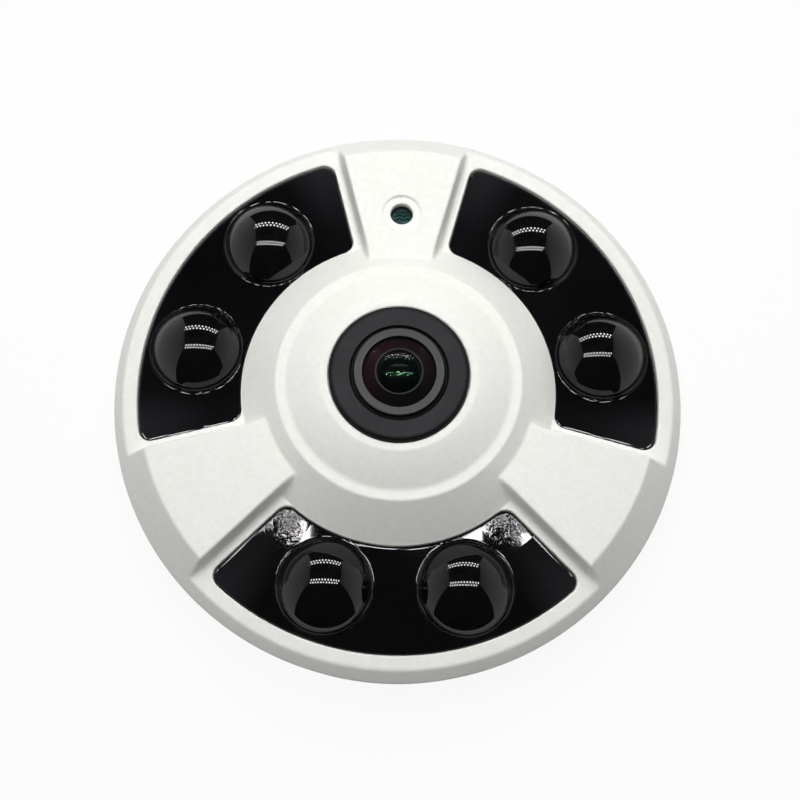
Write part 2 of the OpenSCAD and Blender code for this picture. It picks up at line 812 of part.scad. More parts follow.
module eye_screws() color("silver") translate([0, eye_place_r, arm_under - eye_ear_t])
    for (x = [-1, 1]) translate([x * eye_ear_place, 0, 0])
        screw(eye_screw_r, eye_screw_l, eye_screw_head_r, eye_screw_head_t);

module photocell() color("teal") translate([0, eye_place_r, 0]) {
    top = arm_under - eye_glass_t;
    translate([0, 0, top - photocell_t]) cylinder(r = photocell_r, h = photocell_t);
    for (x = [-1, 1]) translate([x * leg_half, 0, led_board_top])
        cylinder(r = leg_r, h = top - photocell_t / 2 - led_board_top);
}

// Black bezel that fills the lens hole
module lens_bezel() color([0.12, 0.12, 0.13]) {
    out_r = lens_hole_r - bezel_fit;
    seat_z = bezel_ledge_z + bezel_seal_t;
    skirt_r = bezel_ledge_r - bezel_fit;
    top_out = [out_r, bezel_h];
    top_in = [bezel_hole_r, bezel_h];
    rotate_extrude() polygon(concat(
        [[bezel_hole_r, seat_z - bezel_skirt_l], [skirt_r, seat_z - bezel_skirt_l], [skirt_r, seat_z],
            [out_r, seat_z]],
        corner_arc([out_r, seat_z], top_out, top_in, bezel_round, soft_steps),
        [top_in]
    ));
}

module bezel_seal() color("dimgray")
    ring(bezel_ledge_r, lens_hole_r - bezel_fit, bezel_ledge_z, bezel_seal_t);

module lens_seal() color([0.08, 0.08, 0.08]) {
    mid = (head_r + bezel_hole_r) / 2;
    tube = (bezel_hole_r - head_r) / 2 - lens_seal_fit;
    translate([0, 0, bezel_h - 2 * tube]) rotate_extrude() translate([mid, 0]) circle(r = tube);
}

// Lens barrel: threaded tail, wide head, stepped seats for the glass
module lens_barrel() color([0.15, 0.15, 0.16]) difference() {
    union() {
        translate([0, 0, barrel_end]) cylinder(r = thread_r, h = head_z + over - barrel_end);
        translate([0, 0, head_z]) cylinder(r = head_r, h = retainer_z - head_z);
    }
    translate([0, 0, front_edge_z]) cylinder(r = front_edge_r + element_fit, h = retainer_z);
    translate([0, 0, second_z]) cylinder(r = second_r + element_fit, h = retainer_z);
    translate([0, 0, web_top]) cylinder(r = third_r + element_fit, h = retainer_z);
    translate([0, 0, web_top - web_t - over]) cylinder(r = web_hole_r, h = retainer_z);
    translate([0, 0, barrel_end - over])
        cylinder(r = rear_r + element_fit, h = web_top - web_t - barrel_end + over);
}

// Grey ring that holds the front glass
module lens_retainer() color("dimgray") ring(glass_r, head_r, retainer_z, retainer_t);

module front_element() color("lightblue") difference() {
    intersection() {
        translate([0, 0, glass_z]) sphere(r = glass_ball_r);
        translate([0, 0, front_edge_z]) cylinder(r = front_edge_r, h = lens_top - front_edge_z);
    }
    translate([0, 0, lens_top - front_glass_t - front_hollow_r]) sphere(r = front_hollow_r);
}

module second_element() color("lightblue") difference() {
    translate([0, 0, second_z]) cylinder(r = second_r, h = second_t);
    translate([0, 0, second_z + second_glass_t + second_hollow_r]) sphere(r = second_hollow_r);
}

module aperture_stop() color([0.1, 0.1, 0.1]) ring(stop_hole_r, third_r, web_top, stop_t);

// Lens element that bulges on both faces
module bulged_element(r, z, h, ball_r) {
    intersection() {
        translate([0, 0, z]) cylinder(r = r, h = h);
        translate([0, 0, z + ball_r]) sphere(r = ball_r);
        translate([0, 0, z + h - ball_r]) sphere(r = ball_r);
    }
}

module third_element() color("lightblue")
    bulged_element(third_r, web_top + stop_t, second_z - web_top - stop_t, third_ball_r);

module rear_element() color("lightblue")
    bulged_element(rear_r, web_top - web_t - rear_t, rear_t, rear_ball_r);

module rear_retainer() color([0.1, 0.1, 0.1])
    ring(rear_ring_hole_r, rear_r, web_top - web_t - rear_t - rear_ring_t, rear_ring_t);

module lens_lock_ring() color([0.15, 0.15, 0.16])
    ring(holder_bore_r, lock_ring_r, holder_top, lock_ring_t);

// Holder that the lens screws into, closing the filter changer's frame
module lens_holder() color([0.1, 0.1, 0.1]) difference() {
    union() {
        filter_frame_plan(holder_z, holder_flange_t);
        translate([0, 0, holder_z]) cylinder(r = holder_tube_r, h = holder_top - holder_z);
    }
    translate([0, 0, holder_z - over]) cylinder(r = holder_bore_r, h = holder_top);
    for (x = [-1, 1]) translate([x * holder_screw_x, holder_screw_y, holder_z - over])
        cylinder(r = m2_hole_r, h = holder_screw_l - frame_h - board_t + over);
}

module holder_screws() color("silver")
    for (x = [-1, 1]) translate([x * holder_screw_x, holder_screw_y, sensor_board_z])
        screw(m2_r, holder_screw_l, m2_head_r, m2_head_t);

// Plan of the filter changer's frame, as a block
module filter_frame_plan(z, h) {
    translate([-frame_half, frame_back, z]) cube([2 * frame_half, frame_front - frame_back, h]);
}

// Frame of the filter changer: floor, walls, slide rails, pivot post and screw bosses
module filter_frame() color([0.12, 0.12, 0.12]) difference() {
    rail_y = slider_w / 2 + slide_gap;
    fork_half = filter_travel / 2 + pin_r + fork_gap + fork_wall + slide_gap;
    union() {
        difference() {
            filter_frame_plan(frame_z, frame_h);
            translate([-cavity_half, frame_back + frame_wall, floor_top])
                cube([2 * cavity_half, frame_front - frame_back - 2 * frame_wall, frame_h]);
        }
        translate([-cavity_half - over / 2, rail_y, floor_top - over / 2])
            cube([2 * cavity_half + over, rail_w, rail_h + over / 2]);
        for (side = [0, 1]) mirror([side, 0, 0])
            translate([fork_half, -rail_y - rail_w, floor_top - over / 2])
                cube([cavity_half + over / 2 - fork_half, rail_w, rail_h + over / 2]);
        translate([0, pivot_y, floor_top - over / 2])
            cylinder(r = pivot_r, h = slider_top + slide_gap + arm_plate_t - floor_top + over / 2);
        for (x = [-1, 1]) translate([x * holder_screw_x, holder_screw_y, frame_z])
            cylinder(r = holder_boss_r, h = frame_h);
    }
    block(chip_w + 2 * slide_gap, chip_d + 2 * slide_gap, frame_z - over, frame_floor + 2 * over);
    for (x = [-1, 1]) translate([x * holder_screw_x, holder_screw_y, frame_z - over])
        cylinder(r = m2_hole_r, h = frame_h + 2 * over);
}

// Slider with a pocket for each glass and a fork for the rotor's pin
module filter_slider() color("black") difference() {
    fork_x = filter_travel / 2;
    fork_w = 2 * (pin_r + fork_gap + fork_wall);
    union() {
        translate([-slider_w / 2, -slider_w / 2, slider_z]) cube([slider_l, slider_w, slider_t]);
        translate([fork_x - fork_w / 2, -slider_w / 2 - fork_l, slider_z])
            cube([fork_w, fork_l + slider_border / 2, slider_t]);
    }
    for (x = [0, filter_travel]) translate([x, 0, 0]) {
        block(filter_w, filter_w, slider_top - glass_t, glass_t + over);
        block(filter_w - slider_border, filter_w - slider_border, slider_z - over, slider_t + over);
    }
    translate([fork_x - pin_r - fork_gap, -slider_w / 2 - fork_l - over, slider_z - over])
        cube([2 * (pin_r + fork_gap), fork_l - slider_border + over, slider_t + 2 * over]);
}

module day_filter() color("palevioletred")
    block(filter_w - 2 * glass_fit, filter_w - 2 * glass_fit, slider_top - glass_t, glass_t);

module night_glass() color("aliceblue") translate([filter_travel, 0, 0])
    block(filter_w - 2 * glass_fit, filter_w - 2 * glass_fit, slider_top - glass_t, glass_t);

// Rotor arm at the day stop, with its pin in the slider's fork
module rotor_arm() color("ivory") translate([0, pivot_y, 0]) rotate([0, 0, -rotor_swing]) {
    z = slider_top + slide_gap;
    difference() {
        union() {
            translate([0, 0, z]) cylinder(r = magnet_r, h = arm_plate_t);
            translate([-arm_plate_w / 2, 0, z]) cube([arm_plate_w, rotor_reach, arm_plate_t]);
            translate([0, rotor_reach, z]) cylinder(r = arm_plate_w / 2, h = arm_plate_t);
            translate([0, rotor_reach, slider_z + slide_gap])
                cylinder(r = pin_r, h = z + arm_plate_t / 2 - slider_z - slide_gap);
        }
        translate([0, 0, z - over]) cylinder(r = pivot_hole_r, h = arm_plate_t + 2 * over);
    }
}

module rotor_magnet() color("silver") translate([0, pivot_y, 0])
    ring(pivot_hole_r, magnet_r, slider_top + slide_gap - magnet_t, magnet_t);

// Coil lying along X, between the arms of its yoke
module filter_coil() color("peru") translate([-coil_l / 2, coil_y, floor_top + coil_r]) rotate([0, 90, 0])
    difference() {
        cylinder(r = coil_r, h = coil_l);
        translate([0, 0, -over]) cylinder(r = coil_r / 2, h = coil_l + 2 * over);
    }

module coil_yoke() color("silver") {
    z = floor_top + coil_r;
    translate([-coil_l / 2 - yoke_w, coil_y, z]) rotate([0, 90, 0])
        cylinder(r = coil_r / 2 - yoke_fit, h = coil_l + 2 * yoke_w);
    for (side = [0, 1]) mirror([side, 0, 0])
        translate([coil_l / 2, coil_y - coil_r / 2, floor_top])
            cube([yoke_w, pivot_y + magnet_r / 2 - coil_y + coil_r / 2, coil_r + coil_r / 2]);
}

module sensor_board() color("darkgreen") difference() {
    side = 2 * sensor_board_half;
    block(side, side, sensor_board_z, board_t);
    for (x = [-1, 1], y = [-1, 1])
        translate([x * sensor_screw_half, y * sensor_screw_half, sensor_board_z - over])
            cylinder(r = m2_hole_r, h = board_t + 2 * over);
    for (x = [-1, 1]) translate([x * holder_screw_x, holder_screw_y, sensor_board_z - over])
        cylinder(r = m2_hole_r, h = board_t + 2 * over);
}

module image_sensor() color("slategray") block(chip_w, chip_d, sensor_board_top, chip_t);

module sensor_board_screws() color("silver") for (x = [-1, 1], y = [-1, 1])
    translate([x * sensor_screw_half, y * sensor_screw_half, sensor_board_z])
        screw(m2_r, m2_l, m2_head_r, m2_head_t);

module processor() color([0.1, 0.1, 0.1])
    block(processor_w, processor_w, sensor_board_z - processor_t, processor_t);

module heat_pad() color("lightgray") block(processor_w, processor_w, cover_top, heat_pad_t);

// Power board behind the bottom window
module power_board() color("darkgreen") difference() {
    translate([-power_board_w / 2, power_board_y - power_board_d, power_board_z])
        cube([power_board_w, power_board_d, board_t]);
    power_board_places() cylinder(r = m2_5_hole_r, h = power_post_h + cover_t + board_t + over);
}

module power_transformer() color([0.15, 0.15, 0.15]) translate([0, power_board_y - transformer_y, 0])
    block(transformer_w, transformer_d, power_board_top, transformer_h);

module power_capacitors() color("silver") for (x = [-1, 1])
    translate([x * capacitor_x, power_board_y - capacitor_y, power_board_top])
        cylinder(r = capacitor_r, h = capacitor_h);

module cable_header() color("ivory") translate([header_x, power_board_y - header_y, 0]) difference() {
    block(header_w, header_d, power_board_top, header_h);
    block(header_w - 2 * header_wall, header_d - 2 * header_wall, power_board_top + header_floor, header_h);
}

module power_board_screws() color("silver") power_board_places()
    translate([0, 0, cover_t / 2 + power_post_h + board_t]) mirror([0, 0, 1])
        screw(m2_5_r, power_post_h + board_t + cover_t / 4, m2_5_head_r, m2_5_head_t);

// Rubber grommet that the cable passes through
module cable_grommet() color([0.1, 0.1, 0.1]) translate([0, grommet_y, 0]) difference() {
    union() {
        translate([0, 0, cover_z - grommet_flange_t])
            cylinder(r = grommet_hole_r - grommet_fit, h = cover_t + 2 * grommet_flange_t);
        translate([0, 0, cover_z - grommet_flange_t]) cylinder(r = grommet_flange_r, h = grommet_flange_t);
        translate([0, 0, cover_top]) cylinder(r = grommet_flange_r, h = grommet_flange_t);
    }
    translate([0, 0, cover_z - grommet_flange_t - over])
        cylinder(r = grommet_bore_r, h = cover_t + 2 * grommet_flange_t + 2 * over);
}

mounting_plate();
front_housing();
rear_cover();
cover_seal();
cover_screws();
window_top_left();
window_top_right();
window_bottom();
gasket_top_left();
gasket_top_right();
gasket_bottom();
led_board();
led_board_screws();
array_led_1();
array_led_2();
array_led_3();
array_led_4();
array_led_5();
array_led_6();
eye_glass();
eye_holder();
eye_screws();
photocell();
lens_bezel();
bezel_seal();
lens_seal();
lens_barrel();
lens_retainer();
front_element();
second_element();
third_element();
aperture_stop();
rear_element();
rear_retainer();
lens_lock_ring();
lens_holder();
holder_screws();
filter_frame();
filter_slider();
day_filter();
night_glass();
rotor_arm();
rotor_magnet();
filter_coil();
coil_yoke();
sensor_board();
image_sensor();
sensor_board_screws();
processor();
heat_pad();
power_board();
power_transformer();
power_capacitors();
cable_header();
power_board_screws();
cable_grommet();
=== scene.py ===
import json
import math

import bpy
import numpy as np
from mathutils import Matrix, Vector
from mathutils.geometry import delaunay_2d_cdt
from mathutils.kdtree import KDTree


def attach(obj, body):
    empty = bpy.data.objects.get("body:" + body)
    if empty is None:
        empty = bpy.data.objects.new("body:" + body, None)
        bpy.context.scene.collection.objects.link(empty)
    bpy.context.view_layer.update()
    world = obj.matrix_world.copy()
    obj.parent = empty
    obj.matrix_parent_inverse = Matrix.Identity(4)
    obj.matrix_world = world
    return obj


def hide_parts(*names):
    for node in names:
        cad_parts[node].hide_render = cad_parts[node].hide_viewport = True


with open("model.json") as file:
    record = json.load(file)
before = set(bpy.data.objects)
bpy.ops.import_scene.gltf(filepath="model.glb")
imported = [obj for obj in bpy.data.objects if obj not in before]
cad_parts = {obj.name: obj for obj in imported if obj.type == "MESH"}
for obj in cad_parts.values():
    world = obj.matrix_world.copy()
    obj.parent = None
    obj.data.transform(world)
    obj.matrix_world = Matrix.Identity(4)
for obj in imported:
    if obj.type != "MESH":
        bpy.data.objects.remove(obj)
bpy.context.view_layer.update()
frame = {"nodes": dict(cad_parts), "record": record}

nodes = frame["nodes"]
MM = 0.001

# Camera, fitted to the rim, the hub's circles, the arms and the windows in the photograph
AZIMUTH, ELEVATION, ROLL = math.radians(-1.5), math.radians(73.608), math.radians(2.55)
TARGET, DISTANCE = Vector((0.529, 0.644, 7.7)) * MM, 302.597 * MM
FOCAL_PIXELS, PICTURE_PIXELS, SENSOR_WIDTH = 1121.2, 800, 36
NEAREST, FARTHEST = 0.01, 20


def put_in_scene(name, data):
    """New object with this data, linked to the scene."""
    obj = bpy.data.objects.new(name, data)
    bpy.context.scene.collection.objects.link(obj)
    return obj


def place_camera():
    """Put up the photograph's camera."""
    level = math.cos(ELEVATION)
    back = Vector((math.sin(AZIMUTH) * level, -math.cos(AZIMUTH) * level, math.sin(ELEVATION)))
    right = Vector((math.cos(AZIMUTH), math.sin(AZIMUTH), 0))
    up = back.cross(right)
    camera_x = right * math.cos(ROLL) + up * math.sin(ROLL)
    camera_y = -right * math.sin(ROLL) + up * math.cos(ROLL)
    turn = Matrix((camera_x, camera_y, back)).transposed().to_4x4()
    cam = put_in_scene("camera", bpy.data.cameras.new("camera"))
    cam.data.sensor_width = SENSOR_WIDTH
    cam.data.lens = FOCAL_PIXELS * SENSOR_WIDTH / PICTURE_PIXELS
    cam.data.clip_start = NEAREST
    cam.data.clip_end = FARTHEST
    cam.matrix_world = Matrix.Translation(TARGET + back * DISTANCE) @ turn
    bpy.context.scene.camera = cam
    bpy.context.scene.view_settings.view_transform = "Standard"


place_camera()


# Node helpers
def is_socket(value):
    return isinstance(value, bpy.types.NodeSocket)


class Nodes:
    """Short way to build the node tree of a material or of the world."""

    def __init__(self, name, world=False):
        self.m = bpy.data.worlds.new(name) if world else bpy.data.materials.new(name)
        self.m.use_nodes = True
        self.t = self.m.node_tree
        self.t.nodes.clear()
        self.out = self.add("ShaderNodeOutputWorld" if world else "ShaderNodeOutputMaterial")

    def add(self, kind, **properties):
        node = self.t.nodes.new(kind)
        for name, value in properties.items():
            setattr(node, name, value)
        return node

    def feed(self, socket, value):
        """Link a socket to another one, or set its own value."""
        if is_socket(value):
            self.t.links.new(value, socket)
        else:
            socket.default_value = value

    def put(self, node, **values):
        """Link or set a node's inputs by name, with _ for a space."""
        for name, value in values.items():
            self.feed(node.inputs[name.replace("_", " ")], value)
        return node

    def surface(self, shader):
        """The finished material or world, with this shader on its output."""
        self.feed(self.out.inputs["Surface"], shader.outputs[0])
        return self.m

    def principled(self, **values):
        return self.surface(self.put(self.add("ShaderNodeBsdfPrincipled"), **values))

    def coords(self):
        return self.add("ShaderNodeTexCoord").outputs["Object"]

    def xyz(self):
        """The point's X, Y and Z in metres, in the CAD frame."""
        node = self.add("ShaderNodeSeparateXYZ")
        self.feed(node.inputs[0], self.coords())
        return node.outputs

    def radius(self, point):
        """Distance from the camera's axis, from a point's X and Y."""
        x, y = point["X"], point["Y"]
        return self.math("SQRT", self.plus(self.times(x, x), self.times(y, y)))

    def noise(self, scale, detail=3.0, rough=0.5, vector=None):
        node = self.add("ShaderNodeTexNoise")
        self.put(node, Vector=vector or self.coords(), Scale=scale, Detail=detail, Roughness=rough)
        return node.outputs["Fac"]

    def ramp(self, value, low, high, a=0.0, b=1.0):
        """Value from low..high to a..b, clamped."""
        node = self.add("ShaderNodeMapRange")
        self.put(node, Value=value, From_Min=low, From_Max=high, To_Min=a, To_Max=b)
        return node.outputs["Result"]

    def spread(self, noise, a=0.0, b=1.0):
        """Noise, which keeps near 0.5, stretched over a..b."""
        return self.ramp(noise, 0.3, 0.7, a, b)

    def mix(self, factor, a, b):
        """Colour between a and b."""
        node = self.add("ShaderNodeMix", data_type="RGBA")
        self.put(node, Factor=factor)
        for socket, colour in ((node.inputs[6], a), (node.inputs[7], b)):
            self.feed(socket, colour if is_socket(colour) else (*colour, 1))
        return node.outputs[2]

    def math(self, operation, *values):
        node = self.add("ShaderNodeMath", operation=operation)
        for socket, value in zip(node.inputs, values):
            self.feed(socket, value)
        return node.outputs[0]

    def plus(self, total, *others):
        for value in others:
            total = self.math("ADD", total, value)
        return total

    def times(self, product, *others):
        for value in others:
            product = self.math("MULTIPLY", product, value)
        return product

    def bump(self, height, strength, distance, normal=None):
        node = self.add("ShaderNodeBump")
        self.put(node, Strength=strength, Distance=distance, Height=height)
        if normal:
            self.put(node, Normal=normal)
        return node.outputs["Normal"]

    def seen(self):
        """1 for what the eye sees directly, in a mirror image or through glass, 0 for what only lights."""
        path = self.add("ShaderNodeLightPath").outputs
        kinds = self.plus(path["Is Camera Ray"], path["Is Glossy Ray"], path["Is Transmission Ray"])
        return self.math("MINIMUM", kinds, 1.0)


# Materials
COAT_ROUGH, GLASS_INDEX = 0.05, 1.5


def plain(name, dark, light, rough=(0.4, 0.55), grain=900.0, bump=0.15, depth=0.0001, metal=0.0,
          coat=0.0, spec=0.5):
    """Moulded or painted surface: two-tone mottling, fine grain and uneven gloss."""
    k = Nodes(name)
    fine = k.noise(grain, 2.0, 0.6)
    return k.principled(
        Base_Color=k.mix(k.spread(k.noise(60.0, 4.0)), dark, light),
        Roughness=k.spread(fine, *rough),
        Normal=k.bump(fine, bump, depth),
        Metallic=metal,
        Specular_IOR_Level=spec,
        Coat_Weight=coat,
        Coat_Roughness=COAT_ROUGH)


def housing_white():
    """Warm white moulded plastic with a soft, fine spark-eroded texture."""
    k = Nodes("housing_white")
    grain = k.noise(1500.0, 2.0, 0.55)
    lumps = k.noise(620.0, 3.0, 0.6)
    tone = k.mix(k.spread(k.noise(38.0)), (0.9, 0.905, 0.858), (0.915, 0.918, 0.875))
    pits = k.plus(k.ramp(grain, 0.5, 0.75, 0, 0.3), k.ramp(lumps, 0.35, 0.65, 0, 0.3))
    return k.principled(
        Base_Color=k.mix(pits, tone, (0.8, 0.802, 0.75)),
        Roughness=k.spread(lumps, 0.42, 0.6),
        Normal=k.bump(lumps, 0.2, 0.0002, k.bump(grain, 0.16, 0.00012)),
        Specular_IOR_Level=0.35)


def smoked():
    """Dark smoked polycarbonate: polished domes and flats, a little dust, and a grey glow painted into the
    colour at the windows' ends, standing in for the reflections there.

    The flats slope like a shallow cone, so that they mirror the dark part of the room and not the
    strips of lamps. In the two inner corners of the lower window they are crinkled.
    """
    k = Nodes("smoked_window")
    point = k.xyz()
    radius = k.radius(point)
    # Where the flats are, the windows' ends, and the lower window's inner corners
    flat = k.ramp(point["Z"], 0.01885, 0.01895, 1, 0)
    threefold = k.math("SINE", k.times(k.math("ARCTAN2", point["Y"], point["X"]), 3.0))
    ends = k.ramp(threefold, -0.45, -0.05, 1, 0)
    corners = k.times(k.ramp(radius, 0.045, 0.051, 1, 0), ends, k.ramp(point["Y"], -0.024, -0.018, 1, 0))
    # Colours: a dark tint, with a grey glow painted at the windows' ends in place of their reflections
    # Painted reflection: the colour is lifted to grey at the windows' ends, more so towards the outside
    painted_end_glow = k.times(k.ramp(radius, 0.048, 0.066, 0.15, 1), ends)
    tone = k.mix(painted_end_glow, (0.0022, 0.0022, 0.0026), (0.014, 0.014, 0.0158))
    dust = k.ramp(k.noise(2600.0, 1.0), 0.74, 0.8, 0, 0.5)
    # Relief in metres
    ripple = k.noise(70.0, 2.0, 0.4)
    cone = k.times(k.math("SUBTRACT", radius, 0.054), -0.033)
    cone = k.plus(cone, k.ramp(radius, 0.051, 0.075, 0, -0.00053))
    patches = k.ramp(k.noise(260.0, 2.0), 0.4, 0.6, 0.3, 1)
    folds = k.times(patches, corners, k.noise(800.0, 3.0, 0.6), 0.00009)
    form = k.times(k.plus(cone, folds), flat)
    return k.principled(
        Base_Color=k.mix(dust, tone, (0.05, 0.05, 0.052)),
        Roughness=k.plus(k.spread(ripple, 0.02, 0.045), k.times(corners, flat, 0.015)),
        Normal=k.bump(k.plus(form, k.times(ripple, 0.000004)), 1.0, 1.0),
        IOR=GLASS_INDEX)


def bezel_black():
    """Satin black bezel, with painted shade on its rounded outer edge and at its hole."""
    k = Nodes("bezel_black")
    radius = k.radius(k.xyz())
    fine = k.noise(1900.0, 2.0, 0.6)
    face = k.mix(k.spread(k.noise(90.0, 4.0)), (0.0165, 0.017, 0.0195), (0.023, 0.0235, 0.027))
    # Painted shade: the colour is darkened on the rounded outer edge and at the hole
    edges = k.plus(k.ramp(radius, 0.0162, 0.0168), k.ramp(radius, 0.0123, 0.0126, 1, 0))
    return k.principled(
        Base_Color=k.mix(edges, face, (0.004, 0.004, 0.004)),
        Roughness=k.spread(fine, 0.48, 0.6),
        Normal=k.bump(fine, 0.25, 0.0001),
        Specular_IOR_Level=0.15)


def glass(name, tint, alpha, coating_and_glints):
    """Coated glass: a dark, half see-through body under a smooth skin that mirrors in the tint it is given,
    which for the lens glasses is partly the coating's colour and partly painted reflection.
    """
    k = Nodes(name)
    deep = tuple(c * 0.7 for c in tint)
    return k.principled(
        Base_Color=k.mix(k.ramp(k.noise(45.0, 2.0), 0.35, 0.65), tint, deep),
        Roughness=k.spread(k.noise(300.0), 0.1, 0.13),
        Specular_Tint=coating_and_glints(k),
        IOR=GLASS_INDEX,
        Alpha=alpha)


def banded(k, core, far, rim, edge):
    """Tint of the reflections, partly the coating's colour and partly painted reflection laid where the lamp
    strips mirror: green core, near-black round it, a pale far side that whitens the far strip's reflection,
    edge colour past the rim.
    """
    point = k.xyz()
    radius = k.radius(point)
    tint = k.mix(k.ramp(radius, core * 0.9, core, 1, 0), (0.03, 0.08, 0.045), (0.27, 0.62, 0.35))
    # Painted reflection: the pale far side is where the far strip of lamps mirrors bright and white
    tint = k.mix(k.ramp(point["Y"], far * 0.85, far), tint, (1.0, 0.86, 0.92))
    return k.mix(k.ramp(radius, rim * 0.94, rim), tint, edge)


# Reflection tints of the front and second glass: coating colours, with painted reflection zones where the
# lamp strips mirror
def front_coating_and_glints(k):
    return banded(k, 0.0039, 0.0036, 0.006, (0.3, 0.11, 0.14))


def inner_coating_and_glints(k):
    return banded(k, 0.0018, 0.0019, 0.0034, (0.03, 0.09, 0.05))


def plain_coating(k):
    return k.mix(k.spread(k.noise(200.0)), (0.8, 0.85, 0.9), (0.9, 0.9, 0.95))


def blackened_edge_painted_glow():
    """Black lacquer on the back of the front glass, with a maroon glow painted on the side towards the light,
    fading to black.
    """
    k = Nodes("blackened_edge_painted_glow")
    point = k.xyz()
    # Painted light: the side towards the upper left is made maroon, the rest fades to black
    side = k.plus(k.times(point["X"], -0.7), k.times(point["Y"], 0.7), k.times(k.noise(160.0, 2.0), 0.002))
    return k.principled(
        Base_Color=k.mix(k.ramp(side, -0.005, 0.007), (0.005, 0.005, 0.008), (0.04, 0.01, 0.013)),
        Roughness=k.spread(k.noise(1500.0), 0.5, 0.6),
        Specular_IOR_Level=0.1)


def photocell_face():
    """Teal cell of the light sensor, with the light meander of its track."""
    k = Nodes("photocell_face")
    point = k.xyz()
    swing = k.math("SINE", k.times(point["X"], 2 * math.pi / 0.0023))
    wave = k.math("SINE", k.plus(k.times(point["Y"], 2 * math.pi / 0.0011), k.times(swing, 1.4)))
    return k.principled(
        Base_Color=k.mix(k.ramp(wave, 0.45, 0.75), (0.012, 0.075, 0.07), (0.09, 0.34, 0.31)),
        Roughness=k.spread(k.noise(900.0), 0.25, 0.4),
        Coat_Weight=0.5)


MAT = {
    "white_plastic": housing_white(),
    "smoked_plastic": smoked(),
    "bezel_plastic": bezel_black(),
    "coated_glass": glass("coated_glass", (0.004, 0.005, 0.005), 0.55, front_coating_and_glints),
    "inner_glass": glass("inner_glass", (0.001, 0.0025, 0.0018), 0.95, inner_coating_and_glints),
    "clear_glass": glass("clear_glass", (0.02, 0.03, 0.03), 0.2, plain_coating),
    "day_glass": glass("day_glass", (0.35, 0.06, 0.12), 0.6, plain_coating),
    "maroon_edge": blackened_edge_painted_glow(),
    "ground_edge": plain("ground_edge", (0.15, 0.16, 0.155), (0.21, 0.22, 0.215), (0.4, 0.5), 2400, 0.1),
    "plate_metal": plain("plate_paint", (0.72, 0.72, 0.71), (0.78, 0.78, 0.77), (0.35, 0.5), 1800, 0.2),
    "foam": plain("foam", (0.035, 0.035, 0.037), (0.07, 0.07, 0.073), (0.85, 0.95), 2600, 0.9, 0.0003),
    "seal_rubber": plain("seal_rubber", (0.004, 0.004, 0.004), (0.009, 0.009, 0.009), (0.7, 0.8), 1500, 0.2,
                         spec=0.1),
    "screw_steel": plain("zinc_screw", (0.55, 0.56, 0.58), (0.7, 0.7, 0.7), (0.22, 0.38), 2500, 0.15,
                         metal=1.0),
    "lamp_board": plain("lamp_board_white", (0.78, 0.78, 0.76), (0.85, 0.85, 0.83), (0.3, 0.4), 1200, 0.1),
    "lamp_body": plain("lamp_resin", (0.72, 0.66, 0.36), (0.85, 0.8, 0.52), (0.05, 0.12), 500, 0.05,
                       coat=0.6),
    "black_plastic": plain("black_plastic", (0.012, 0.012, 0.013), (0.02, 0.02, 0.022), (0.45, 0.6), 1600,
                           0.3),
    "lens_metal": plain("anodised_black", (0.01, 0.01, 0.011), (0.018, 0.018, 0.02), (0.3, 0.42), 2400, 0.15),
    "ring_metal": plain("anodised_grey", (0.043, 0.043, 0.045), (0.056, 0.056, 0.059), (0.42, 0.52), 2400,
                        0.15, spec=0.25),
    "slider_plastic": plain("slider_black", (0.01, 0.01, 0.01), (0.02, 0.02, 0.02), (0.4, 0.5), 1600, 0.2),
    "rotor_plastic": plain("rotor_ivory", (0.6, 0.56, 0.44), (0.68, 0.64, 0.52), (0.35, 0.45), 1500, 0.15),
    "magnet": plain("nickel", (0.55, 0.54, 0.5), (0.66, 0.65, 0.6), (0.18, 0.3), 2200, 0.1, metal=1.0),
    "copper": plain("copper_wire", (0.6, 0.28, 0.12), (0.75, 0.38, 0.18), (0.25, 0.4), 4000, 0.6, metal=1.0),
    "yoke_steel": plain("soft_steel", (0.5, 0.5, 0.5), (0.62, 0.62, 0.62), (0.3, 0.45), 2500, 0.2, metal=1.0),
    "circuit_board": plain("circuit_green", (0.01, 0.07, 0.03), (0.018, 0.1, 0.045), (0.25, 0.35), 700, 0.2,
                           coat=0.3),
    "sensor_face": plain("sensor_face", (0.01, 0.02, 0.025), (0.02, 0.04, 0.045), (0.05, 0.1), 800, 0.05,
                         coat=0.5),
    "chip": plain("chip_epoxy", (0.01, 0.01, 0.01), (0.02, 0.02, 0.02), (0.55, 0.7), 2400, 0.3),
    "heat_silicone": plain("heat_silicone", (0.42, 0.43, 0.46), (0.5, 0.51, 0.54), (0.6, 0.7), 1500, 0.3),
    "capacitor_can": plain("can_aluminium", (0.6, 0.6, 0.62), (0.75, 0.75, 0.77), (0.2, 0.3), 2500, 0.1,
                           metal=1.0),
    "ivory_plastic": plain("header_ivory", (0.68, 0.64, 0.52), (0.76, 0.72, 0.6), (0.35, 0.45), 1500, 0.15),
}


def dress(obj, material):
    obj.data.materials.clear()
    obj.data.materials.append(material)


def dress_cad():
    """Give each CAD mesh the material of its slot, and the photocell its own."""
    slots = {s["node"]: s["material_slot"] for s in frame["record"]["subparts"]}
    for name, obj in nodes.items():
        if slots.get(name) in MAT:
            dress(obj, MAT[slots[name]])
    dress(nodes["photocell"], photocell_face())


dress_cad()


# Mesh helpers, in mm
def make(name, verts, faces, material, replaces=(), slot=None, sharp=35, body="camera"):
    """A smooth piece with creases sharper than an angle, riding on a body."""
    me = bpy.data.meshes.new(name)
    me.from_pydata([tuple(v) for v in np.asarray(verts, float) * MM], [], [list(map(int, f)) for f in faces])
    me.validate()
    me.update()
    me.shade_smooth()
    me.set_sharp_from_angle(angle=math.radians(sharp))
    ob = put_in_scene(name, me)
    dress(ob, material)
    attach(ob, body)
    if replaces:
        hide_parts(*replaces)


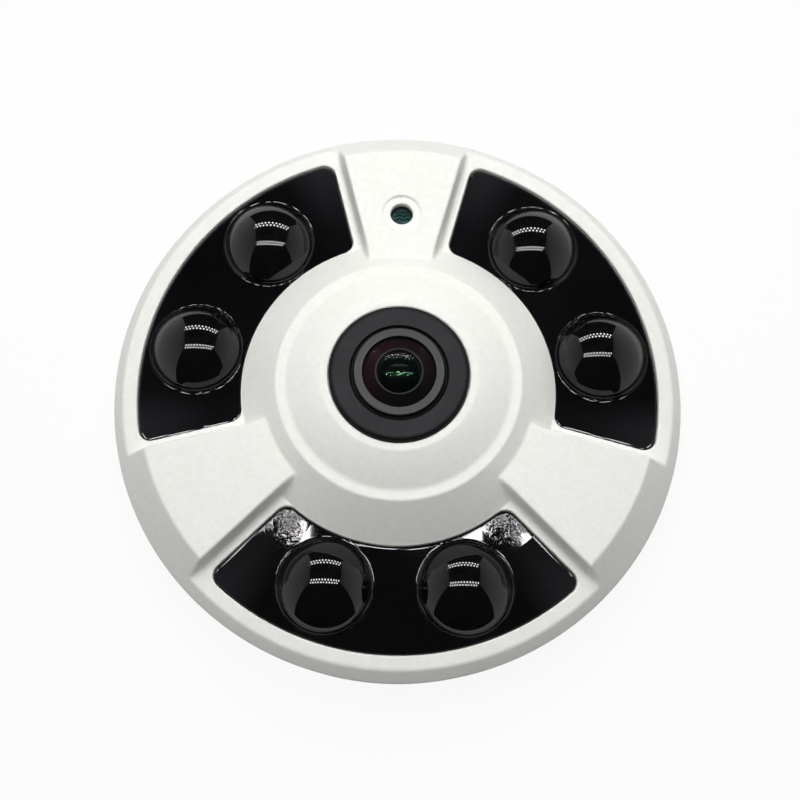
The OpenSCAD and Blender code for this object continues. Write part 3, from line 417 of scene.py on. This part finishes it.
def direction(degrees):
    """Unit vector in the plane."""
    return np.array([math.cos(math.radians(degrees)), math.sin(math.radians(degrees))])


def corner(a, b, c, r, steps):
    """Points of an arc of radius r that rounds corner b of a, b, c."""
    a, b, c = (np.array(p, float) for p in (a, b, c))
    u, v = (a - b) / np.linalg.norm(a - b), (c - b) / np.linalg.norm(c - b)
    half = math.acos(np.clip(u @ v, -1, 1)) / 2
    reach = r / math.tan(half)
    p, q = b + u * reach, b + v * reach
    m = b + (u + v) / np.linalg.norm(u + v) * r / math.sin(half)
    start, end = math.atan2(*(p - m)[::-1]), math.atan2(*(q - m)[::-1])
    turn = (end - start + math.pi) % (2 * math.pi) - math.pi
    angles = [start + turn * i / steps for i in range(steps + 1)]
    return [m + r * np.array([math.cos(t), math.sin(t)]) for t in angles]


def rounded(points, radii, steps=8):
    """Open outline with its inner corners rounded."""
    out = [np.array(points[0], float)]
    for a, b, c, r in zip(points, points[1:], points[2:], radii):
        out += corner(a, b, c, r, steps) if r > 0 else [np.array(b, float)]
    out.append(np.array(points[-1], float))
    return np.array(out)


def lathe(profile, steps=192):
    """Vertices and faces of a profile of (radius, z) turned round the axis."""
    angles = np.arange(steps) * 2 * math.pi / steps
    verts = [(r * math.cos(t), r * math.sin(t), z) for r, z in profile for t in angles]
    faces = []
    for low in range(0, (len(profile) - 1) * steps, steps):
        high = low + steps
        for s in range(steps):
            s2 = (s + 1) % steps
            faces.append((low + s, low + s2, high + s2, high + s))
    return verts, faces


def arc(centre, r, start, end, steps):
    """Points of an arc between two angles in degrees."""
    angles = np.radians(np.linspace(start, end, steps + 1))
    return [np.array([centre[0] + r * math.cos(t), centre[1] + r * math.sin(t)]) for t in angles]


def circle(r, count, centre=(0.0, 0.0), phase=0.0):
    """Points of a full circle, turned by a share of their distance."""
    t = (np.arange(count) + phase) * 2 * math.pi / count
    return np.c_[centre[0] + r * np.cos(t), centre[1] + r * np.sin(t)]


def ring(r, gap, centre=(0.0, 0.0), phase=0.0):
    """Circle of points that lie about a gap apart."""
    return circle(r, max(12, int(round(2 * math.pi * r / gap))), centre, phase)


def spin(points, degrees):
    """Points turned about the axis."""
    c, s = math.cos(math.radians(degrees)), math.sin(math.radians(degrees))
    p = np.asarray(points, float).copy()
    p[:, :2] = p[:, :2] @ np.array([[c, s], [-s, c]])
    return p


def inside(points, loop):
    """Which points lie inside a closed loop."""
    x, y = points[:, 0][:, None], points[:, 1][:, None]
    a, b = loop, np.roll(loop, -1, axis=0)
    cut = (a[:, 1] > y) != (b[:, 1] > y)
    with np.errstate(divide="ignore", invalid="ignore"):
        at = (b[:, 0] - a[:, 0]) * (y - a[:, 1]) / (b[:, 1] - a[:, 1]) + a[:, 0]
    return (cut & (x < at)).sum(1) % 2 == 1


class Net:
    """Groups of points in the plane, each with one value, and the closed loops that must stay edges."""

    def __init__(self):
        self.points = []
        self.values = []
        self.edges = []

    def add(self, points, value=0.0, closed=False):
        """Add a group of points, and return their numbers."""
        first = sum(len(group) for group in self.points)
        numbers = list(range(first, first + len(points)))
        self.points.append(np.asarray(points, float))
        self.values.append(np.full(len(points), value))
        if closed:
            self.edges.extend(zip(numbers, numbers[1:] + numbers[:1]))
        return numbers


def triangulate(points, edges):
    """Triangles between points: (points, triangles, each point's number before, or -1)."""
    out = delaunay_2d_cdt([Vector(p) for p in points], edges, [], 0, 1e-6)
    flat = np.array([tuple(p) for p in out[0]])
    before = np.array([numbers[0] if numbers else -1 for numbers in out[3]])
    return flat, np.array(out[2]), before


def add_wall(verts, faces, top, loop, levels):
    """Wall from the top vertices of a loop down through (radius, height) levels; None keeps its outline."""
    centre = loop.mean(axis=0)
    for radius, level in levels:
        low = []
        for x, y in loop:
            if radius:
                away = np.array([x, y]) - centre
                x, y = centre + away / np.linalg.norm(away) * radius
            low.append(len(verts))
            verts.append((x, y, level))
        for i in range(len(top)):
            j = (i + 1) % len(top)
            faces.append((top[i], top[j], low[j], low[i]))
        top = low


# The housing's form, with the radii, heights and slopes of part.scad
RIM, FOOT, OUT_R, RIM_H, PAD_H, ARM_H = 74.0, 73.5, 73.2, 17.0, 20.0, 25.4
RIM_SLOPE = math.tan(math.radians(46))
PAD_EDGE, ARM_EDGE = RIM - (PAD_H - RIM_H) / RIM_SLOPE, RIM - (ARM_H - RIM_H) / RIM_SLOPE
FLANK, LEDGE, LEDGE_H, CROWN, LIP_H, HOLE = 40.6, 31.1, 28.7, 28.6, 33.25, 17.7
FLANK_SLOPE = (LEDGE_H - PAD_H) / (FLANK - LEDGE)
BALL = 53.4
BALL_Z = LEDGE_H - math.sqrt(BALL ** 2 - CROWN ** 2)
LIP = math.sqrt(BALL ** 2 - (LIP_H - BALL_Z) ** 2)
ARMS, ARM_HALF, ARM_LEAN = (90.0, 210.0, 330.0), 15, 1.2
WINDOWS = (150.0, 30.0, 270.0)
EYE, EYE_HOLE, EYE_RECESS, EYE_DEPTH = 47.5, 3.0, 5.1, 0.7
EDGE, EYE_EDGE, RECESS_SOFT = 0.45, 0.3, 0.5
CROWN_STEPS = 14

crown = [(r, BALL_Z + math.sqrt(BALL ** 2 - r * r)) for r in np.linspace(LIP + 1.4, CROWN - 1.2, CROWN_STEPS)]
hub = [(HOLE - 1, LIP_H), (LIP, LIP_H)] + crown + [(CROWN, LEDGE_H), (LEDGE, LEDGE_H)]
hub_radii = [1.6] + [0] * CROWN_STEPS + [2.4, 0.9]


def face_line(foot, top, edge):
    """Height of the face along a radius, over a pad or an arm."""
    return rounded(hub + [(foot, top), (edge, top), (RIM + 1, RIM_H - RIM_SLOPE)], hub_radii + [0.9, 1.1])


pad_line = face_line(FLANK, PAD_H, PAD_EDGE)
arm_line = face_line(FLANK - (ARM_H - PAD_H) / FLANK_SLOPE, ARM_H, ARM_EDGE)
arm_side = rounded([(-8, PAD_H), (0, PAD_H), (ARM_LEAN, ARM_H), (9, ARM_H)], [1.5, 0.75], 10)


def off_arm(x, y):
    """Angle between a point and the middle of the nearest arm, in degrees."""
    a = np.degrees(np.arctan2(y, x))
    return np.min([np.abs((a - c + 180) % 360 - 180) for c in ARMS], axis=0)


def sunk(distance, hole, radius):
    """How far a hole's rounded edge lies under the face, at a distance from the hole's centre."""
    share = np.clip((hole + radius - distance) / radius, 0, 1)
    return radius * (1 - np.sqrt(1 - share * share))


def height(x, y):
    """Height of the housing's face over a point, windows and holes left out."""
    r = np.hypot(x, y)
    low = np.interp(r, pad_line[:, 0], pad_line[:, 1])
    high = np.interp(r, arm_line[:, 0], arm_line[:, 1])
    across = r * np.sin(np.radians(np.clip(ARM_HALF - off_arm(x, y), -45, 45)))
    share = (np.interp(across, arm_side[:, 0], arm_side[:, 1]) - PAD_H) / (ARM_H - PAD_H)
    from_eye = np.hypot(x, y - EYE)
    step = np.clip((EYE_RECESS + 0.22 - from_eye) / RECESS_SOFT, 0, 1)
    face = low + (high - low) * share - EYE_DEPTH * step * step * (3 - 2 * step)
    return face - sunk(from_eye, EYE_HOLE, EYE_EDGE) - sunk(r, HOLE, EDGE)


# Window outline, as in part.scad
W_IN, W_OUT, W_HALF, W_SIDE, W_CORNER, CORNER_STEPS = FLANK + 0.25, PAD_EDGE - 3.55, 45.0, 1.75, 3.3, 10


def window_loop(grown, gap):
    """Outline of a window centred on +X, grown by a width: a closed ring of points about a gap apart."""

    def count(length):
        return max(3, int(round(length / gap)))

    r = max(W_CORNER + grown, W_CORNER / 4)
    drop = W_SIDE - grown + r
    inner, outer = W_IN - grown + r, W_OUT + grown - r
    inner_end = W_HALF - math.degrees(math.asin(drop / inner))
    outer_end = W_HALF - math.degrees(math.asin(drop / outer))
    half = arc((0, 0), W_OUT + grown, 0, outer_end, count(W_OUT * math.radians(outer_end)))
    half += arc(outer * direction(outer_end), r, outer_end, W_HALF + 90, CORNER_STEPS)[1:]
    turn = arc(inner * direction(inner_end), r, W_HALF + 90, inner_end + 180, CORNER_STEPS)
    a, b = half[-1], turn[0]
    steps = count(np.linalg.norm(a - b))
    half += [a + (b - a) * i / steps for i in range(1, steps)]
    half += turn
    half += arc((0, 0), W_IN - grown, inner_end, 0, count(W_IN * math.radians(inner_end)))[1:]
    half = np.array(half)
    return np.vstack([half, half[-2:0:-1] * [1, -1]])


# The housing's net of points: steps round its holes, rings in the rounded edges, and the least gaps
RIM_STEPS, HOLE_STEPS, EYE_STEPS, LOOP_GAP = 720, 240, 64, 0.7
WINDOW_RINGS = (0.04, 0.11, 0.21, 0.33, 0.45, 0.62)
EYE_RINGS = (3.05, 3.12, 3.2, 3.3, 3.6, 4.1, 4.6, 4.8, 4.9, 5.0, 5.1, 5.2, 5.32, 5.6)
NET_GAPS = (0.07, 0.2, 0.5)
HAIR = 0.001

# Walls in the openings and round the rim, as (radius, height); radius None keeps the opening's outline
WINDOW_WALL = [(None, PAD_H - EDGE - 0.02 - 0.2 * step) for step in (1, 2, 4, 6, 9)]
LENS_SEAT = [(None, 32.4), (None, 31.6), (15.2, 31.6), (15.2, 29.4)]
EYE_WALL = [(None, 24.2), (None, 23.0)]
RIM_WALL = [(OUT_R, RIM_H + (RIM - OUT_R) * RIM_SLOPE), (RIM, RIM_H), (FOOT, 0.4), (71.8, 0.4), (71.8, 7.6),
            (70.3, 7.6)]


def steps_of(*parts):
    """Numbers of several (start, end, step) parts in a row."""
    return np.concatenate([np.arange(*part) for part in parts])


def fixed_net():
    """The points that the housing keeps: (net, rim, lens hole, sensor hole, windows)."""
    net = Net()
    rim = net.add(circle(OUT_R, RIM_STEPS), closed=True)
    hole = net.add(circle(HOLE, HOLE_STEPS), closed=True)
    eye = net.add(circle(EYE_HOLE, EYE_STEPS, (0, EYE)), closed=True)
    windows = []
    for turn in WINDOWS:
        windows.append(net.add(spin(window_loop(0, LOOP_GAP), turn), EDGE, closed=True))
        for grown in WINDOW_RINGS:
            net.add(spin(window_loop(grown, LOOP_GAP), turn), sunk(grown, 0, EDGE))
    for r in EYE_RINGS:
        net.add(ring(r, 0.42, (0, EYE), 0.5 * (len(net.points) % 2)))
    return net, rim, hole, eye, windows


def hub_and_rim_points():
    """Rings of points, closest together where the hub's form bends and near the rim."""
    radii = steps_of((HOLE + 0.04, HOLE + 0.5, 0.08), (HOLE + 0.6, 19, 0.35), (19.1, 20.6, 0.2),
                     (20.9, 26.4, 0.5), (26.6, 30.3, 0.2), (30.4, 31.9, 0.1), (32.1, 39.8, 0.45),
                     (39.9, 41.5, 0.12), (69.9, OUT_R - 0.05, 0.2))
    return np.vstack([ring(r, 0.55 if r < 60 else 0.8, phase=0.5 * (i % 2)) for i, r in enumerate(radii)])


def arm_points():
    """Points close together along the arms' feet, tops and sides."""
    groups = []
    for i, r in enumerate(steps_of((33.6, 36.2, 0.15), (64.9, 67.0, 0.15))):
        points = ring(r, 0.6, phase=0.5 * (i % 2))
        groups.append(points[off_arm(*points.T) < ARM_HALF + 1.5])
    for turn in ARMS:
        for side in (-1, 1):
            for i, s in enumerate(steps_of((-1.7, 0.3, 0.13), (0.3, 2.1, 0.11))):
                along = np.arange(33.0, 72.4, 0.55) + 0.27 * (i % 2)
                line = np.c_[along, np.full(len(along), -side * s)]
                groups.append(spin(line, turn + side * ARM_HALF))
    return np.vstack(groups)


def filling_points():
    """Rings of points over the pads and the arms."""
    return np.vstack([ring(r, 1.05, phase=0.37 * r) for r in np.arange(36, 70, 0.95)])


def tree_of(points):
    """Search tree of points in the plane."""
    tree = KDTree(len(points))
    for i, (x, y) in enumerate(points):
        tree.insert((x, y, 0), i)
    tree.balance()
    return tree


def fill_net(fixed, windows):
    """The fixed points, and loose ones on the face that keep a gap from all the earlier ones."""
    kept = fixed
    for gap, points in zip(NET_GAPS, (hub_and_rim_points(), arm_points(), filling_points())):
        free = np.hypot(points[:, 0], points[:, 1] - EYE) > EYE_HOLE
        free &= np.hypot(points[:, 0], points[:, 1]) < OUT_R
        for loop in windows:
            free &= ~inside(points, loop)
        points = points[free]
        tree = tree_of(kept)
        far = np.array([tree.find((x, y, 0))[2] > gap for x, y in points])
        kept = np.vstack([kept, points[far]])
    return kept


def on_face(points, windows):
    """Which points lie outside all the holes."""
    keep = np.hypot(points[:, 0], points[:, 1]) > HOLE * math.cos(math.pi / HOLE_STEPS) - HAIR
    keep &= np.hypot(points[:, 0], points[:, 1] - EYE) > EYE_HOLE * math.cos(math.pi / EYE_STEPS) - HAIR
    for loop in windows:
        keep &= ~inside(points, loop)
    return keep


def build_housing():
    """The white face: a fine net of points over the height field, with walls in its openings."""
    net, rim, hole, eye, windows = fixed_net()
    fixed = np.vstack(net.points)
    loops = [fixed[numbers] for numbers in windows]
    flat, tris, before = triangulate(fill_net(fixed, loops), net.edges)
    tris = tris[on_face(flat[tris].mean(axis=1), loops)]
    z = height(flat[:, 0], flat[:, 1])
    known = (before >= 0) & (before < len(fixed))
    z[known] -= np.concatenate(net.values)[before[known]]
    verts = [tuple(v) for v in np.c_[flat, z]]
    faces = [tuple(t) for t in tris]
    now = {int(old): new for new, old in enumerate(before)}

    def wall(numbers, levels):
        add_wall(verts, faces, [now[n] for n in numbers], fixed[numbers], levels)

    for numbers in windows:
        wall(numbers, WINDOW_WALL)
    wall(hole, LENS_SEAT)
    wall(eye, EYE_WALL)
    wall(rim, rounded(RIM_WALL, [1.0, 0.5, 0.3, 0])[1:])
    make("housing_shell", verts, faces, MAT["white_plastic"], ("front_housing",), "white_plastic", 62)


build_housing()

# Smoked windows
WIN_Z, FIT, DOME_PLACE, DOME_TURN = PAD_H - 1.2, 0.25, (W_IN + W_OUT) / 2 - 0.2, 18.9
DOME_BALL, DOME_H, DOME_R, DOME_FOOT = 14.0, 7.0, 11.3, 1.3
WINDOW_GAP = 0.8


def dome_profile():
    """Radius and height, from the top of a dome to the flat."""
    side = math.asin(DOME_R / DOME_BALL)
    cap = [(DOME_BALL * math.sin(t), WIN_Z + DOME_H - DOME_BALL + DOME_BALL * math.cos(t))
           for t in np.linspace(0.02, side * 0.97, 26)]
    foot = DOME_R + DOME_FOOT
    fillet = [(foot + DOME_FOOT * math.cos(t), WIN_Z + DOME_FOOT + DOME_FOOT * math.sin(t))
              for t in np.radians(np.linspace(182, 268, 12))]
    return cap + fillet + [(foot + 0.15, WIN_Z), (foot + 0.5, WIN_Z)]


def build_window():
    """One smoked window with its two domes, centred on +X: (vertices, faces)."""
    net = Net()
    rim = net.add(window_loop(-FIT, WINDOW_GAP), WIN_Z - 0.2, closed=True)
    for inset, drop in ((0.3, 0.08), (0.37, 0.02), (0.46, 0.0), (0.9, 0.0)):
        net.add(window_loop(-inset, WINDOW_GAP), WIN_Z - drop)
    domes = [DOME_PLACE * direction(side * DOME_TURN) for side in (-1, 1)]
    for dome in domes:
        net.add([dome], WIN_Z + DOME_H)
        for r, z in dome_profile():
            count = 8 if r < 0.6 else 24 if r < 1.6 else 48 if r < 3 else 120
            net.add(circle(r, count, dome), z, closed=r > 3)
    fixed = np.vstack(net.points)
    outline = fixed[rim]
    fill = np.vstack([ring(r, 1.5, phase=0.4 * r) for r in np.arange(W_IN + 1, W_OUT, 1.4)])
    fill = fill[inside(fill, window_loop(-1.5, WINDOW_GAP))]
    for dome in domes:
        fill = fill[np.hypot(*(fill - dome).T) > DOME_R + DOME_FOOT + 1.1]
    flat, tris, before = triangulate(np.vstack([fixed, fill]), net.edges)
    tris = tris[inside(flat[tris].mean(axis=1), outline)]
    z = np.concatenate(net.values + [np.full(len(fill), WIN_Z)])
    verts = [tuple(v) for v in np.c_[flat, z[before]]]
    faces = [tuple(t) for t in tris]
    now = {int(old): new for new, old in enumerate(before)}
    add_wall(verts, faces, [now[n] for n in rim], outline, [(None, WIN_Z - d) for d in (0.6, 1.4, 2.6)])
    return verts, faces


window_verts, window_faces = build_window()
for place, degrees in zip(("top_left", "top_right", "bottom"), WINDOWS):
    make("smoked_" + place, spin(window_verts, degrees), window_faces, MAT["smoked_plastic"],
         ("window_" + place,), "smoked_plastic", 50)

# Lens
BEZEL_TOP, BEZEL_OUT, BEZEL_IN = 34.3, 17.5, 12.2
GLASS_BALL, GLASS_TOP, GLASS_R, HEAD = 16.8, 37.2, 9.2, 11.2
RING_Z = GLASS_TOP - GLASS_BALL + math.sqrt(GLASS_BALL ** 2 - GLASS_R ** 2) + 0.15
RING_TOP = RING_Z + 0.6
CURVE, WAIST, FLATTER = 12.3, 5.4, 0.015
HOLLOW, HOLLOW_TOP, HOLLOW_WALL = 6.02, 35.12, (5.6, 35.05)
SECOND_BALL, SECOND_R, SECOND_TOP = 6.5, 5.2, 34.5


def turned(name, profile, material, replaces=(), slot=None, sharp=35):
    """A piece turned from a profile of (radius, z)."""
    make(name, *lathe(profile), material, replaces, slot, sharp)


def glass_line():
    """Profile of the front glass: ball-shaped in the middle, flatter towards its edge."""
    ball = [(r, GLASS_TOP - CURVE + math.sqrt(CURVE ** 2 - r * r)) for r in np.linspace(0.05, WAIST, 30)]
    end = ball[-1][1]
    slope = WAIST / math.sqrt(CURVE ** 2 - WAIST ** 2)
    skirt = [(WAIST + t, end - slope * t + FLATTER * t * t) for t in np.linspace(0.2, GLASS_R - WAIST, 16)]
    return ball + skirt


def second_line():
    """Profile of the second glass, whose bulge shows under the front one."""
    bulge = [(SECOND_BALL * math.sin(t), SECOND_TOP - SECOND_BALL + SECOND_BALL * math.cos(t))
             for t in np.linspace(0.01, math.asin(SECOND_R / SECOND_BALL), 30)]
    return bulge + [(SECOND_R, 30.8)]


bezel = [(15.0, 29.7), (15.0, 32.0), (BEZEL_OUT, 32.0), (BEZEL_OUT, BEZEL_TOP), (BEZEL_IN, BEZEL_TOP),
         (BEZEL_IN, 29.7)]
turned("bezel_face", rounded(bezel, [0, 0.15, 0.9, 0.25]), MAT["bezel_plastic"], ("lens_bezel",),
       "bezel_plastic", 50)
retainer = [(HEAD, RING_Z), (HEAD, RING_TOP), (GLASS_R, RING_TOP), (GLASS_R, RING_Z), (HEAD, RING_Z)]
turned("retainer_ring", rounded(retainer, [0.2, 0.12, 0]), MAT["ring_metal"], ("lens_retainer",),
       "ring_metal", 50)
turned("front_glass", glass_line(), MAT["coated_glass"], ("front_element",), "coated_glass", 60)
turned("glass_back", [(GLASS_R, 33.8), (9.0, 34.1), (7.5, 34.6), (HOLLOW, HOLLOW_TOP)], MAT["maroon_edge"])
turned("hollow_edge", [(HOLLOW, HOLLOW_TOP), (5.95, 35.24), (5.82, 35.28), (5.68, 35.2), HOLLOW_WALL],
       MAT["ground_edge"])
turned("hollow_wall", [HOLLOW_WALL, (5.5, 34.0), (5.4, 31.0)], MAT["seal_rubber"])
turned("second_bulge", second_line(), MAT["inner_glass"], ("second_element",), "coated_glass", 60)

# Stage, in metres from here on: a white floor just under the object
FLOOR_SIZE, FLOOR_Z = 4, -0.0001


def build_floor():
    """White floor, brighter to the eye than the light that it throws back on the object."""
    mesh = bpy.data.meshes.new("floor")
    corners = [(x * FLOOR_SIZE, y * FLOOR_SIZE, FLOOR_Z) for x, y in ((-1, -1), (1, -1), (1, 1), (-1, 1))]
    mesh.from_pydata(corners, [], [(0, 1, 2, 3)])
    k = Nodes("floor_white")
    seen = k.seen()
    white = k.mix(k.spread(k.noise(3.0)), (0.9, 0.9, 0.9), (0.92, 0.92, 0.92))
    diffuse = k.put(k.add("ShaderNodeBsdfDiffuse"), Color=k.mix(seen, (0.35, 0.35, 0.35), white))
    glow = k.put(k.add("ShaderNodeEmission"), Strength=1.0)
    both = k.add("ShaderNodeMixShader")
    for socket, value in zip(both.inputs, (k.times(seen, 0.92), diffuse.outputs[0], glow.outputs[0])):
        k.feed(socket, value)
    mesh.materials.append(k.surface(both))
    floor = put_in_scene("floor", mesh)


def build_world():
    """White behind the object, and a dim room round it that gloss picks up."""
    k = Nodes("studio", world=True)
    sky = k.add("ShaderNodeTexCoord").outputs["Generated"]
    room = k.mix(k.spread(k.noise(2.0, vector=sky)), (0.02, 0.02, 0.021), (0.045, 0.045, 0.05))
    direct = k.add("ShaderNodeLightPath").outputs["Is Camera Ray"]
    view = k.mix(direct, room, (0.965, 0.965, 0.967))
    ambient = k.put(k.add("ShaderNodeBackground", name="ambient"), Color=(1, 1, 1, 1), Strength=0.21)
    shown = k.put(k.add("ShaderNodeBackground", name="shown"), Color=view)
    both = k.add("ShaderNodeMixShader")
    for socket, value in zip(both.inputs, (k.seen(), ambient.outputs[0], shown.outputs[0])):
        k.feed(socket, value)
    bpy.context.scene.world = k.surface(both)


build_floor()
build_world()

# Light tent, seen in gloss only: two sides, a dark roof and two strips of lamp chips in zigzag
TENT_X, TENT_BACK, ROOF_GAP = 0.29, 0.45, 0.01
OVER, BACK = Vector((-0.018, 0.0485, 0.5137)), Vector((-0.028, 0.365, 0.322))
SIDE = [(0.045, 0.51), (-0.28, 0.02), (-0.28, 0.0), (TENT_BACK, 0.0), (TENT_BACK, 0.35), (0.365, 0.36)]
CHIPS, CHIP_HALF_WIDTH, CHIP_HALF_DEPTH, CHIP_POWER = 22, 0.0085, 0.56, 34.0
STRIPS = {"strip_over": (OVER, 0.285, 0.027), "strip_back": (BACK, 0.28, 0.026)}


def emitting(k, colour, strength=1.0):
    return k.surface(k.put(k.add("ShaderNodeEmission"), Color=colour, Strength=strength))


def uneven_light(name, low, high, strength, scale):
    """Light from a surface, a little uneven."""
    k = Nodes(name)
    return emitting(k, k.mix(k.spread(k.noise(scale)), low, high), strength)


def tent_cloth():
    """White cloth, lit from below, so that it darkens towards the roof."""
    k = Nodes("tent_cloth")
    place = k.plus(k.xyz()["Z"], k.times(k.noise(6.0), 0.12))
    return emitting(k, k.mix(k.ramp(place, 0.12, 0.52), (0.78, 0.78, 0.81), (0.3, 0.3, 0.31)))


def in_gloss(name, verts, faces, material):
    """A piece of the stage that only reflections show."""
    me = bpy.data.meshes.new(name)
    me.from_pydata([tuple(v) for v in verts], [], faces)
    me.materials.append(material)
    ob = put_in_scene(name, me)
    for ray in ("camera", "diffuse", "transmission", "shadow", "volume_scatter"):
        setattr(ob, "visible_" + ray, False)


def build_strip(name, centre, half, reach, material):
    """Chips in two rows, by turns on the near and the far side of the strip's middle."""
    along = (BACK - OVER).normalized()
    half_depth = reach * CHIP_HALF_DEPTH
    verts, faces = [], []
    for i in range(CHIPS):
        x = centre.x + half * (2 * (i + 0.5) / CHIPS - 1)
        row = centre + along * (reach if i % 2 else -reach)
        for side, end in ((-1, -1), (1, -1), (1, 1), (-1, 1)):
            q = row + along * half_depth * end
            verts.append((x + side * CHIP_HALF_WIDTH, q.y, q.z))
        faces.append(tuple(range(4 * i, 4 * i + 4)))
    in_gloss(name, verts, faces, material)


def build_tent():
    """Put up the sides, the roof and the strips."""
    cloth = tent_cloth()
    for side in (-1, 1):
        wall = [(side * TENT_X, y, z) for y, z in SIDE]
        in_gloss("tent_side_%d" % side, wall, [list(range(len(wall)))], cloth)
    edge = TENT_X - ROOF_GAP
    roof = [(x, q.y, q.z + ROOF_GAP) for q in (OVER, BACK) for x in (-edge, edge)]
    dark = uneven_light("tent_roof", (0.012, 0.01, 0.012), (0.08, 0.06, 0.07), 1.0, 9.0)
    in_gloss("tent_roof", roof, [(0, 1, 3, 2)], dark)
    chips = uneven_light("lamp_chips", (1.0, 0.9, 0.95), (0.95, 1.0, 1.0), CHIP_POWER, 60.0)
    for name, (centre, half, reach) in STRIPS.items():
        build_strip(name, centre, half, reach, chips)


build_tent()

# Lamps, which gloss doesn't show: place, size in metres and power in watts
LAMPS = {
    "over": ((-0.0105, 0.060, 0.365), (0.16, 0.10), 0.60),
    "back": ((0.0, 0.225, 0.288), (0.20, 0.08), 0.38),
    "left": ((-0.536, 0.0, 0.470), (0.30, 0.30), 0.34),
    "right": ((0.597, 0.345, 0.150), (0.30, 0.15), 0.46),
}
LAMP_AIM = Vector((0, 0, 0.02))


def add_lamp(name, place, size, power):
    """Area lamp aimed at the object."""
    data = bpy.data.lights.new(name, "AREA")
    data.shape = "RECTANGLE"
    data.size, data.size_y = size
    data.energy = power
    lamp = put_in_scene(name, data)
    lamp.location = place
    lamp.rotation_mode = "QUATERNION"
    lamp.rotation_quaternion = (LAMP_AIM - Vector(place)).to_track_quat("-Z", "Y")
    lamp.visible_glossy = False
    lamp.visible_camera = False


for name, (place, size, power) in LAMPS.items():
    add_lamp(name, place, size, power)
